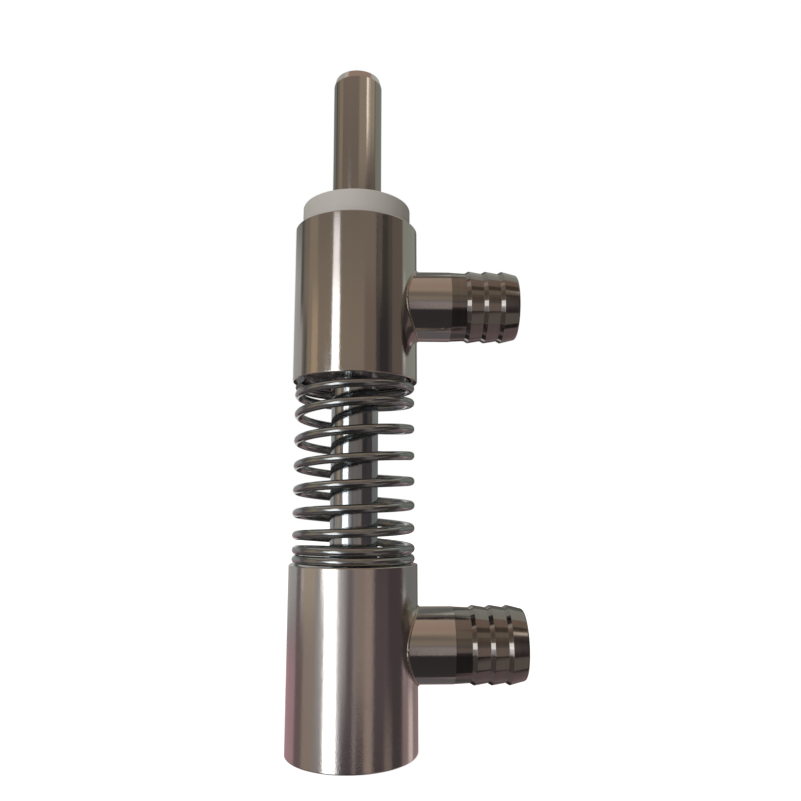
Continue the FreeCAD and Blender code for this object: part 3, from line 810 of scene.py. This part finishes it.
def make_hose_tail(node, body, host, sizes, finish):
    """One hose tail: the foot's ring follows the body's round side."""
    outer = radius(host)
    foot = math.sqrt(outer ** 2 - sizes.tail_plain ** 2)
    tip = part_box(node)[1].x
    height = tail_height(node)
    item, runs = turned(node, tail_outline(sizes, foot, tip, radius(node)), sizes.facets, axis="X")
    for vertex in item.data.vertices:
        if abs(vertex.co.x - foot) < ON_AXIS:
            vertex.co.x = math.sqrt(outer ** 2 - vertex.co.y ** 2)
    polish(item, runs, axis="X")
    normals = [corner.vector.copy() for corner in item.data.corner_normals]
    for vertex in item.data.vertices:
        vertex.co.z += height
    item.data.normals_split_custom_set(normals)
    tail_steel = kept("Polished tail steel", polished_steel, finish, finish.steel, finish.grain_depth,
                      "X")
    dress(item, body, node, "polished_steel", tail_steel, kept("Turned steel", barb_steel, finish))
    for face in item.data.polygons:
        face.material_index = int(face.center.x > sizes.tail_plain_reach)
    make_weld_bead(node.replace("hose_tail", "weld_bead"), body, outer, height, sizes, finish)


def make_weld_bead(name, body, outer, height, sizes, finish):
    """The bead along the line where a tail's stub meets the body."""
    points = []
    for step in range(BEAD_POINTS):
        angle = math.tau * step / BEAD_POINTS
        across = sizes.tail_plain * math.cos(angle)
        points.append(Vector((math.sqrt(outer ** 2 - across ** 2), across,
                              height + sizes.tail_plain * math.sin(angle))))
    bead = bar_along(name, points, sizes.weld_bead, BEAD_FACETS,
                     kept("Weld bead steel", weld_steel, finish), closed=True)
    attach(bead, body)


# Shank, stem and plug

class NOZZLE_OT_shank(bpy.types.Operator):
    """Turns the plain bar that the machine clamps"""
    bl_idname = "nozzle.shank"
    bl_label = "Shank"

    def execute(self, context):
        sizes, finish = context.scene.nozzle_sizes, context.scene.nozzle_finish
        outer, low, high = extent("shank")
        socket = sizes.stud + sizes.clearance
        depth = top("stem") + (sizes.stud - sizes.stem_bore)
        turned_piece("shank", "stem_unit", "polished_steel", steel(finish), sizes, [
            (socket, low),
            (outer, low, sizes.edge),
            (outer, high - sizes.shank_lead, sizes.edge),
            (outer - sizes.shank_lead_depth, high, sizes.edge),
            (0.0, high),
            (0.0, depth),
            (socket, depth),
        ])
        return {"FINISHED"}


class NOZZLE_OT_stem(bpy.types.Operator):
    """Turns the hollow return tube and bores its cross holes"""
    bl_idname = "nozzle.stem"
    bl_label = "Stem"

    def execute(self, context):
        sizes, finish = context.scene.nozzle_sizes, context.scene.nozzle_finish
        outer, low, high = sizes.stem_radius, bottom("stem"), top("stem")
        height = tail_height("upper_hose_tail")
        bore_end = height + sizes.bore_end
        bores = []
        for sideways in (Vector((1.0, 0.0, 0.0)), Vector((0.0, 1.0, 0.0))):
            start = Vector((0.0, 0.0, height)) - sideways * outer * 2
            bores.append((start, sideways, sizes.cross_hole, outer * 4, CROSS_HOLE_FACETS))
        stem_steel = kept("Drawn stem steel", polished_steel, finish, finish.stem, finish.grain_depth)
        turned_piece("stem", "stem_unit", "polished_steel", stem_steel, sizes, [
            (sizes.stem_bore, low),
            (sizes.stud, low, sizes.rim),
            (sizes.stud, top("valve_head_washer")),
            (outer, top("valve_head_washer"), sizes.edge),
            (outer, bottom("shank"), sizes.edge),
            (sizes.stud, bottom("shank")),
            (sizes.stud, high, sizes.rim),
            (0.0, high),
            (0.0, bore_end),
            (sizes.stem_bore, bore_end),
        ], bores)
        return {"FINISHED"}


class NOZZLE_OT_cap_plug(bpy.types.Operator):
    """Turns the white plug that closes the upper chamber"""
    bl_idname = "nozzle.cap_plug"
    bl_label = "Cap plug"

    def execute(self, context):
        sizes, finish = context.scene.nozzle_sizes, context.scene.nozzle_finish
        outer, low, high = extent("cap_plug")
        inner = sizes.stem_radius + sizes.clearance
        ring_low, ring_high = ring_room("cap_outer_o_ring", sizes)
        turned_piece("cap_plug", "stem_unit", "white_plastic", plastic(finish), sizes, [
            (inner, low),
            (outer, low, sizes.edge),
            *groove(outer, outer - sizes.ring_section, ring_low, ring_high),
            (outer, high, sizes.plug_edge),
            (inner, high, sizes.edge),
            *groove(inner, inner + sizes.ring_section, ring_high, ring_low),
        ])
        return {"FINISHED"}


# Spring

class NOZZLE_OT_spring(bpy.types.Operator):
    """Coils the spring and marks each point with its share of the travel, which changes only over the
    open turns
    """
    bl_idname = "nozzle.spring"
    bl_label = "Spring"

    def execute(self, context):
        sizes, finish = context.scene.nozzle_sizes, context.scene.nozzle_finish
        knots, pitches = spring_pitches(sizes)
        steps = round(sizes.turns * WIRE_POINTS_PER_TURN)
        coil_radius = radius("spring") - sizes.wire / 2
        base = top("lower_body") + sizes.wire_gap + sizes.wire / 2 - sizes.lean
        rise = spring_height(sizes.turns, knots, pitches)
        closed = pitches[0]
        points, weights = [], []
        for index in range(steps + 1):
            turn = index / WIRE_POINTS_PER_TURN
            angle = math.pi + turn * math.tau
            height = spring_height(turn, knots, pitches)
            swing = sizes.lean * spring_swing(turn, sizes.turns)
            points.append(Vector((coil_radius * math.cos(angle), coil_radius * math.sin(angle),
                                  base + height + swing)))
            open_gap = height - closed * turn
            weights.append(1.0 - open_gap / (rise - closed * sizes.turns))
        wire = kept("Drawn spring wire", spring_wire, finish)
        item = bar_along("spring", points, sizes.wire / 2, WIRE_FACETS, wire, marks=[("lift", weights)])
        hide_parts("spring")
        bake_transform(item)
        lift = item.data.attributes["lift"]
        values = [0.0] * len(item.data.vertices)
        lift.data.foreach_get("value", values)
        return {"FINISHED"}


def spring_pitches(sizes):
    """Turns at which the pitch changes, and the pitch there: closed, opening, growing, closed."""
    closed = sizes.wire + sizes.coil_gap
    end, opening, growth = sizes.closed_turns, sizes.opening_turns, sizes.pitch_growth
    closing, top_end = sizes.closing_turns, sizes.top_closed_turns
    active = sizes.turns - end - opening - closing - top_end
    gap = bottom("upper_body") - top("lower_body")
    rise = gap - sizes.wire - 2 * sizes.wire_gap + 2 * sizes.lean
    open_turns = opening / 2 + active * (1 + growth) / 2 + closing * growth / 2
    first = (rise - closed * (end + top_end + (opening + closing) / 2)) / open_turns
    top_start = sizes.turns - top_end
    knots = [0, end, end + opening, top_start - closing, top_start, sizes.turns]
    return knots, [closed, closed, first, first * growth, closed, closed]


def spring_height(turn, knots, pitches):
    """Height of the wire's centre above its start after so many turns."""
    height = 0.0
    for low, high, start, end in zip(knots, knots[1:], pitches, pitches[1:]):
        part = min(max(turn - low, 0.0), high - low)
        height += part * (start + (end - start) * part / (2 * (high - low)))
    return height


def spring_swing(turn, turns):
    """The coil's lean there: a full swing at both ends, opposite ways, and none in between."""
    top_part = (turn / turns) ** 2
    return ((1 - top_part) * math.cos(turn * math.tau)
            - top_part * math.cos((turns - turn) * math.tau))


# Valve, gasket and guide bush

class NOZZLE_OT_valve(bpy.types.Operator):
    """Turns the valve head, its seat ring and the mouth gasket"""
    bl_idname = "nozzle.valve"
    bl_label = "Valve"

    def execute(self, context):
        sizes, finish = context.scene.nozzle_sizes, context.scene.nozzle_finish
        make_valve_head(sizes, finish)
        make_seat_ring(sizes, finish)
        outer, low, high = extent("mouth_gasket")
        inner = radius("valve_head") + sizes.gasket_gap
        silicone = kept("Gasket silicone", gasket_silicone, finish)
        turned_piece("mouth_gasket", "bell_unit", "pale_silicone", silicone, sizes, [
            (inner, low, sizes.edge),
            (outer, low, sizes.edge),
            (outer, high, sizes.edge),
            (inner, high, sizes.edge),
        ])
        return {"FINISHED"}


def make_valve_head(sizes, finish):
    """The conical head, with the groove that holds its sealing ring."""
    outer, low, high = extent("valve_head")
    cone_low = low + sizes.head_rim
    cone_high = cone_low + sizes.head_cone
    ring_low = bottom("valve_head_o_ring")
    ring_high = min(top("valve_head_o_ring"), cone_high)
    ring_reach = radius("valve_head_o_ring") - sizes.ring_section
    above_groove = cone_high + ON_OUTLINE  # a hair higher, so that two corners never meet
    socket = sizes.stud + sizes.clearance
    turned_piece("valve_head", "stem_unit", "polished_steel", steel(finish), sizes, [
        (sizes.stem_bore, low, sizes.edge),
        (outer - sizes.head_bevel, low, sizes.edge),
        (outer, low + sizes.head_bevel, sizes.edge),
        (outer, cone_low, sizes.edge),
        (outer - (ring_low - cone_low), ring_low),
        (ring_reach, ring_low),
        (ring_reach, ring_high),
        (outer - (ring_high - cone_low), ring_high),
        (outer - sizes.head_cone, above_groove),
        (sizes.stem_radius, cone_high + sizes.head_neck, sizes.edge),
        (sizes.stem_radius, high, sizes.edge),
        (socket, high),
        (socket, low + sizes.head_base),
        (sizes.stem_bore, low + sizes.head_base),
    ])


def make_seat_ring(sizes, finish):
    """The seat ring: a cone below, and a groove outside for its sealing ring."""
    outer, low, high = extent("seat_ring")
    inner = radius("valve_head") - sizes.seat_lap
    cone = radius("valve_head") + bottom("valve_head") + sizes.head_rim + sizes.seat_gap
    turned_piece("seat_ring", "bell_unit", "polished_steel", steel(finish), sizes, [
        (cone - low, low, sizes.edge / 2),
        (outer, low),
        *groove(outer, outer - sizes.ring_section, *ring_room("seat_ring_o_ring", sizes)),
        (outer, high, sizes.edge),
        (inner + sizes.seat_bevel, high, sizes.edge),
        (inner, high - sizes.seat_bevel, sizes.edge),
        (inner, cone - inner, sizes.edge),
    ])


class NOZZLE_OT_guide_bush(bpy.types.Operator):
    """Turns the plastic bush that guides the bell on the stem"""
    bl_idname = "nozzle.guide_bush"
    bl_label = "Guide bush"

    def execute(self, context):
        sizes, finish = context.scene.nozzle_sizes, context.scene.nozzle_finish
        outer, low, high = extent("guide_bush")
        inner = sizes.stem_radius + sizes.running_gap
        corners = [
            (inner, low, sizes.edge),
            (outer, low),
            *groove(outer, outer - sizes.ring_section, *ring_room("guide_bush_o_ring", sizes)),
            (outer, low + sizes.bush_flange),
            (sizes.bush_neck, low + sizes.bush_flange),
            (sizes.bush_neck, high, sizes.edge),
            (inner, high, sizes.edge),
        ]
        for rise in sizes.bush_grooves:
            start = low + rise
            corners += groove(inner, inner + sizes.ring_section, start + sizes.ring_section, start)
        turned_piece("guide_bush", "bell_unit", "white_plastic", plastic(finish), sizes, corners)
        return {"FINISHED"}


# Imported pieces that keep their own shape

class NOZZLE_OT_inner_pieces(bpy.types.Operator):
    """Gives the sealing rings, washers, lock nut and circlip their materials"""
    bl_idname = "nozzle.inner_pieces"
    bl_label = "Inner pieces"

    def execute(self, context):
        finish = context.scene.nozzle_finish
        rubber = kept("Seal rubber", seal_rubber, finish)
        for name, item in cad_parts.items():
            if name.endswith(("o_ring", "o_rings")):
                repaint(item, rubber)
            elif name.endswith("washer"):
                repaint(item, plastic(finish))
        repaint(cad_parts["stem_lock_nut"], steel(finish))
        repaint(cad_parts["bush_retaining_ring"], kept("Blued spring steel", circlip_steel, finish))
        return {"FINISHED"}


def repaint(item, material):
    """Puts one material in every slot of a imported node."""
    for slot in item.material_slots:
        slot.material = material
    if not item.material_slots:
        item.data.materials.append(material)


# Studio: camera, lamp, floor and what the steel mirrors

# The room's light by elevation in degrees, from straight down to straight up

SKY = [
    (-90, (0.045, 0.04, 0.04)),
    (-26, (0.04, 0.034, 0.037)),
    (-19, (0.08, 0.062, 0.068)),
    (-15, (0.13, 0.10, 0.108)),
    (-5, (0.20, 0.17, 0.175)),
    (6, (0.25, 0.21, 0.19)),
    (14, (0.30, 0.24, 0.185)),
    (27, (0.21, 0.17, 0.14)),
    (33, (0.245, 0.19, 0.155)),
    (42, (0.41, 0.31, 0.24)),
    (60, (0.42, 0.295, 0.235)),
    (90, (0.46, 0.36, 0.29)),
]

# The room's panels: azimuth from the camera's way, right positive, and elevation, in degrees, the
# softness of their ends in both, and their light

PANELS = {
    "pale wall on the left": ((-205, -113), (-9, 22), (5, 8), (0.45, 0.44, 0.43)),
    "wall near the ceiling": ((-205, -108), (22, 70), (5, 8), (0.23, 0.225, 0.215)),
    "mauve cloth on the left": ((-205, -111), (-20, -9.5), (4, 3), (0.47, 0.29, 0.32)),
    "dark gap beside the wall": ((-122, -109), (15.5, 60), (4, 3), (0.12, 0.115, 0.10)),
    "dark gap, lower": ((-110, -98), (3, 15.5), (4, 3), (0.12, 0.12, 0.10)),
    "dark gap at the foot": ((-112, -92), (-60, -9), (6, 4), (0.19, 0.14, 0.14)),
    "lit edge of the frame": ((-100, -92), (-7.5, 0), (3, 3), (0.62, 0.54, 0.52)),
    "brass cupboard": ((-95, -74), (0, 40), (4, 5), (0.32, 0.26, 0.195)),
    "lit edge of the cupboard": ((-85, -71), (-2, 17), (3, 4), (0.53, 0.39, 0.265)),
    "thin lit frame": ((-112, -106), (11, 26), (1.5, 3), (0.22, 0.19, 0.175)),
    "cupboard, lower part": ((-92, -64), (-8.5, 0), (4, 4), (0.48, 0.41, 0.33)),
    "cupboard at the foot": ((-92, -63), (-40, -8.5), (4, 4), (0.35, 0.28, 0.24)),
    "grey curtain round the window": ((-64, -9), (-14, 1), (6, 4), (0.40, 0.375, 0.375)),
    "grey curtain, lower part": ((-64, -17), (-20, -14), (5, 4), (0.37, 0.34, 0.34)),
    "lit curtain": ((-56, -15), (-13, 1), (5, 4), (0.55, 0.53, 0.54)),
    "lit curtain, lower part": ((-54, -19), (-19, -13), (5, 4), (0.50, 0.475, 0.485)),
    "leaf right of the window": ((-30, -22), (-40, 1), (3, 4), (0.85, 0.8, 0.83)),
    "leaf left of the window": ((-54, -40), (-5.5, 9.5), (2, 2), (2.3, 2.25, 2.2)),
    "window, wide below": ((-47, -26), (-25, 1), (3, 4), (3.2, 3.2, 3.2)),
    "window": ((-41.5, -27.5), (-10, 18.5), (2, 2), (2.2, 2.15, 2.1)),
    "window top": ((-41, -29), (18.5, 23.5), (2.5, 1.5), (1.4, 1.32, 1.3)),
    "tan board in front": ((7.5, 37), (-14.5, -1), (4, 4), (0.33, 0.26, 0.225)),
    "tan board, lit part": ((22, 36.5), (-24, -1), (7, 4), (0.385, 0.30, 0.26)),
    "tan board, upper end": ((17.5, 39), (5, 19), (4, 5), (0.215, 0.16, 0.13)),
    "board high in front": ((9, 46), (26, 42), (9, 4), (0.36, 0.295, 0.225)),
    "dark doorway": ((39, 97), (-50, 25.5), (3, 3), (0.08, 0.064, 0.066)),
    "near side of the doorway": ((40, 65), (-17, -3), (3, 4), (0.12, 0.09, 0.10)),
    "black side of the doorway": ((46, 64), (4, 19), (4, 3), (0.042, 0.038, 0.038)),
    "top of the doorway": ((41, 51), (17, 25.5), (2, 3), (0.14, 0.115, 0.10)),
    "dark post of the doorway": ((51, 63), (17, 25.5), (2, 3), (0.062, 0.055, 0.045)),
    "lit post of the doorway": ((63, 79), (17, 25.5), (5, 3), (0.105, 0.088, 0.068)),
    "brown side of the doorway": ((72, 97), (8, 26), (4, 3), (0.155, 0.125, 0.105)),
    "pale floor on the right": ((31, 72), (-62, -27), (6, 6), (0.28, 0.24, 0.215)),
    "small lamp high on the right": ((45, 56), (29, 37), (3, 2), (1.35, 1.18, 1.0)),
    "glow beside the lamp": ((55, 66), (28.5, 50), (5, 2), (0.62, 0.52, 0.43)),
    "pale shelf high on the right": ((65, 90), (28.5, 50), (5, 2), (0.41, 0.35, 0.26)),
    "lit tiles low on the right": ((58, 73), (-40, -15), (4, 3), (0.26, 0.20, 0.18)),
    "grey-green wall on the right": ((99, 149), (6, 25), (4, 4), (0.32, 0.33, 0.29)),
    "wall above on the right": ((98, 180), (25, 70), (4, 4), (0.26, 0.275, 0.235)),
    "wall below on the right": ((101, 150), (-9, 6), (4, 4), (0.22, 0.22, 0.21)),
    "dark strip behind on the right": ((149, 168), (-9, 25), (6, 4), (0.16, 0.165, 0.15)),
    "mauve cloth on the right": ((97, 178), (-75, -10.5), (4, 3), (0.32, 0.23, 0.235)),
    "dark room behind on the right": ((166, 205), (-17, -5), (4, 3), (0.03, 0.028, 0.026)),
    "dark room behind on the left": ((-205, -166), (-17, -5), (4, 3), (0.03, 0.028, 0.026)),
    "lit fold of the cloth": ((115, 130), (-24, -13), (5, 3), (0.85, 0.70, 0.66)),
    "window behind": ((-169, -159), (-30, 30), (2, 4), (1.0, 1.0, 0.97)),
    "pale ceiling on the right": ((94, 168), (38, 76), (3, 4), (0.56, 0.56, 0.50)),
    "pale ceiling on the left": ((-166, -92), (38, 70), (3, 4), (0.52, 0.51, 0.46)),
    "lit tiles high on the left": ((-92, -64), (43, 60), (4, 5), (0.68, 0.62, 0.55)),
    "dark beam overhead": ((140, 171), (70, 89), (3, 4), (0.15, 0.13, 0.115)),
    "shade behind the tails": ((168.5, 176), (30, 68), (2, 5), (0.165, 0.165, 0.155)),
    "dark shelf above the board": ((20, 62), (40, 53), (5, 4), (0.15, 0.115, 0.09)),
    "lit floor low on the left": ((-140, -42), (-75, -22), (6, 6), (0.16, 0.13, 0.125)),
    "mauve floor low on the left": ((-180, -86), (-78, -49), (6, 6), (0.28, 0.22, 0.23)),
    "mauve floor low on the right": ((62, 180), (-80, -60), (5, 5), (0.28, 0.21, 0.215)),
    "shade below the tails": ((158, 177), (-82, -34), (3, 5), (0.15, 0.138, 0.14)),
    "thin strip in front": ((2.5, 8), (-21, 2), (2, 6), (0.33, 0.28, 0.27)),
    "glint above the lower tail": ((100, 106), (-10.5, -6.5), (2, 2), (0.9, 0.85, 0.82)),
    "glint below the upper tail": ((101, 107), (12, 18), (2, 3), (0.75, 0.71, 0.68)),
}


class NOZZLE_OT_studio(bpy.types.Operator):
    """Sets the camera, the soft lamp, the pale floor and the room that the steel mirrors"""
    bl_idname = "nozzle.studio"
    bl_label = "Studio"

    def execute(self, context):
        studio = context.scene.nozzle_studio
        make_camera(context.scene, studio)
        make_lamp(studio)
        make_floor(studio)
        make_room(context.scene)
        context.scene.view_settings.view_transform = "Standard"
        return {"FINISHED"}


def make_camera(scene, studio):
    """The camera at the photograph's place, turn and tilt."""
    data = bpy.data.cameras.new("Camera")
    data.lens = studio.lens
    data.sensor_width = 36.0
    data.clip_start = 0.01
    camera = placed("Camera", data)
    camera.location = studio.camera_place
    level = math.cos(studio.camera_tilt)
    forward = Vector((math.sin(studio.camera_turn) * level, math.cos(studio.camera_turn) * level,
                      math.sin(studio.camera_tilt)))
    camera.rotation_mode = "QUATERNION"
    camera.rotation_quaternion = forward.to_track_quat("-Z", "Y")
    scene.camera = camera


def make_lamp(studio):
    """A large soft lamp, high on the left; the room alone gives the steel its highlights."""
    data = bpy.data.lights.new("Soft lamp", "AREA")
    data.energy = studio.lamp_power
    data.size = studio.lamp_size
    lamp = placed("Soft lamp", data)
    lamp.location = studio.lamp_place
    aim = Vector(studio.lamp_aim) - lamp.location
    lamp.rotation_mode = "QUATERNION"
    lamp.rotation_quaternion = aim.to_track_quat("-Z", "Y")
    lamp.visible_camera = False
    lamp.visible_glossy = False


def make_floor(studio):
    """A pale floor that keeps the soft shadow near the nozzle and is white further out."""
    reach = studio.floor_reach
    mesh = bpy.data.meshes.new("floor")
    corners = [(-reach, -reach, 0.0), (reach, -reach, 0.0), (reach, reach, 0.0), (-reach, reach, 0.0)]
    mesh.from_pydata(corners, [], [(0, 1, 2, 3)])
    floor = placed("floor", mesh)
    floor.location.z = -studio.floor_drop
    mesh.materials.append(kept("Pale floor", pale_floor, studio))
    floor.visible_glossy = False
    floor.visible_shadow = False


def pale_floor(tree, place, studio):
    """Matt and pale; to the camera alone it also glows, less near the nozzle."""
    main = tree.nodes["Principled BSDF"]
    main.inputs["Base Color"].default_value = (*studio.floor, 1.0)
    main.inputs["Roughness"].default_value = 0.9
    distance = added(tree, "VectorMath", {0: place}, operation="LENGTH").outputs["Value"]
    glow = carried(tree, distance, studio.glow_start, studio.glow_end, studio.least_glow, 1.0,
                   "SMOOTHSTEP")
    seen = added(tree, "LightPath", {}).outputs["Is Camera Ray"]
    tree.links.new(maths(tree, "MULTIPLY", glow, seen), main.inputs["Emission Strength"])
    main.inputs["Emission Color"].default_value = (1.0, 1.0, 1.0, 1.0)


def between(tree, value, span, soft):
    """1 inside a span of degrees and 0 outside, with soft ends."""
    rise = carried(tree, value, span[0] - soft / 2, span[0] + soft / 2, 0.0, 1.0, "SMOOTHSTEP")
    fall = carried(tree, value, span[1] + soft / 2, span[1] - soft / 2, 0.0, 1.0, "SMOOTHSTEP")
    return maths(tree, "MULTIPLY", rise, fall)


def make_room(scene):
    """The world: white to the camera, and to all other rays a dim room with lit panels."""
    world = bpy.data.worlds.new("Room")
    world.use_nodes = True
    scene.world = world
    tree = world.node_tree
    tree.nodes.clear()
    direction = added(tree, "TexCoord", {}).outputs["Generated"]
    split = added(tree, "SeparateXYZ", {0: direction}).outputs
    facing = maths(tree, "MULTIPLY", split["Y"], -1.0)
    azimuth = maths(tree, "MULTIPLY", maths(tree, "ARCTAN2", split["X"], facing), math.degrees(1))
    elevation = maths(tree, "MULTIPLY", maths(tree, "ARCSINE", split["Z"]), math.degrees(1))
    height = maths(tree, "DIVIDE", maths(tree, "ADD", elevation, 90.0), 180.0)
    ramp = added(tree, "ValToRGB", {"Fac": height})
    stops = ramp.color_ramp.elements
    while len(stops) < len(SKY):
        stops.new(0.5)
    for stop, (level, tone) in zip(stops, SKY):
        stop.position = (level + 90) / 180
        stop.color = (*tone, 1.0)
    room = ramp.outputs["Color"]
    for across, upward, soft, tone in PANELS.values():
        mask = maths(tree, "MULTIPLY", between(tree, azimuth, across, soft[0]),
                     between(tree, elevation, upward, soft[1]))
        room = blended(tree, mask, room, tone)
    dim = added(tree, "Background", {"Color": room})
    white = added(tree, "Background", {"Color": (1.0, 1.0, 1.0, 1.0)})
    seen = added(tree, "LightPath", {}).outputs["Is Camera Ray"]
    chosen = added(tree, "MixShader", {"Fac": seen, 1: dim.outputs[0], 2: white.outputs[0]})
    added(tree, "OutputWorld", {"Surface": chosen.outputs[0]})


# Panel, registration and the run

OPERATORS = (
    NOZZLE_OT_bodies,
    NOZZLE_OT_hose_tails,
    NOZZLE_OT_shank,
    NOZZLE_OT_stem,
    NOZZLE_OT_cap_plug,
    NOZZLE_OT_spring,
    NOZZLE_OT_valve,
    NOZZLE_OT_guide_bush,
    NOZZLE_OT_inner_pieces,
    NOZZLE_OT_studio,
)


class NOZZLE_PT_panel(bpy.types.Panel):
    """Lists the nozzle's pieces in the sidebar"""
    bl_idname = "NOZZLE_PT_panel"
    bl_label = "Filling nozzle"
    bl_space_type = "VIEW_3D"
    bl_region_type = "UI"
    bl_category = "Nozzle"

    def draw(self, context):
        for operator in OPERATORS:
            self.layout.operator(operator.bl_idname)
        self.layout.prop(context.scene.nozzle_sizes, "edge")
        self.layout.prop(context.scene.nozzle_finish, "steel")
        self.layout.prop(context.scene.nozzle_studio, "lamp_power")


GROUPS = {"nozzle_sizes": NozzleSizes, "nozzle_finish": NozzleFinish, "nozzle_studio": NozzleStudio}
CLASSES = (*GROUPS.values(), *OPERATORS, NOZZLE_PT_panel)


def register():
    for item in CLASSES:
        bpy.utils.register_class(item)
    for name, group in GROUPS.items():
        setattr(bpy.types.Scene, name, bpy.props.PointerProperty(type=group))


def unregister():
    for name in GROUPS:
        delattr(bpy.types.Scene, name)
    for item in reversed(CLASSES):
        bpy.utils.unregister_class(item)


def main():
    """Makes every piece and the studio."""
    register()
    bpy.ops.nozzle.bodies()
    bpy.ops.nozzle.hose_tails()
    bpy.ops.nozzle.shank()
    bpy.ops.nozzle.stem()
    bpy.ops.nozzle.cap_plug()
    bpy.ops.nozzle.spring()
    bpy.ops.nozzle.valve()
    bpy.ops.nozzle.guide_bush()
    bpy.ops.nozzle.inner_pieces()
    bpy.ops.nozzle.studio()
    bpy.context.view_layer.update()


if __name__ == "__main__":
    main()
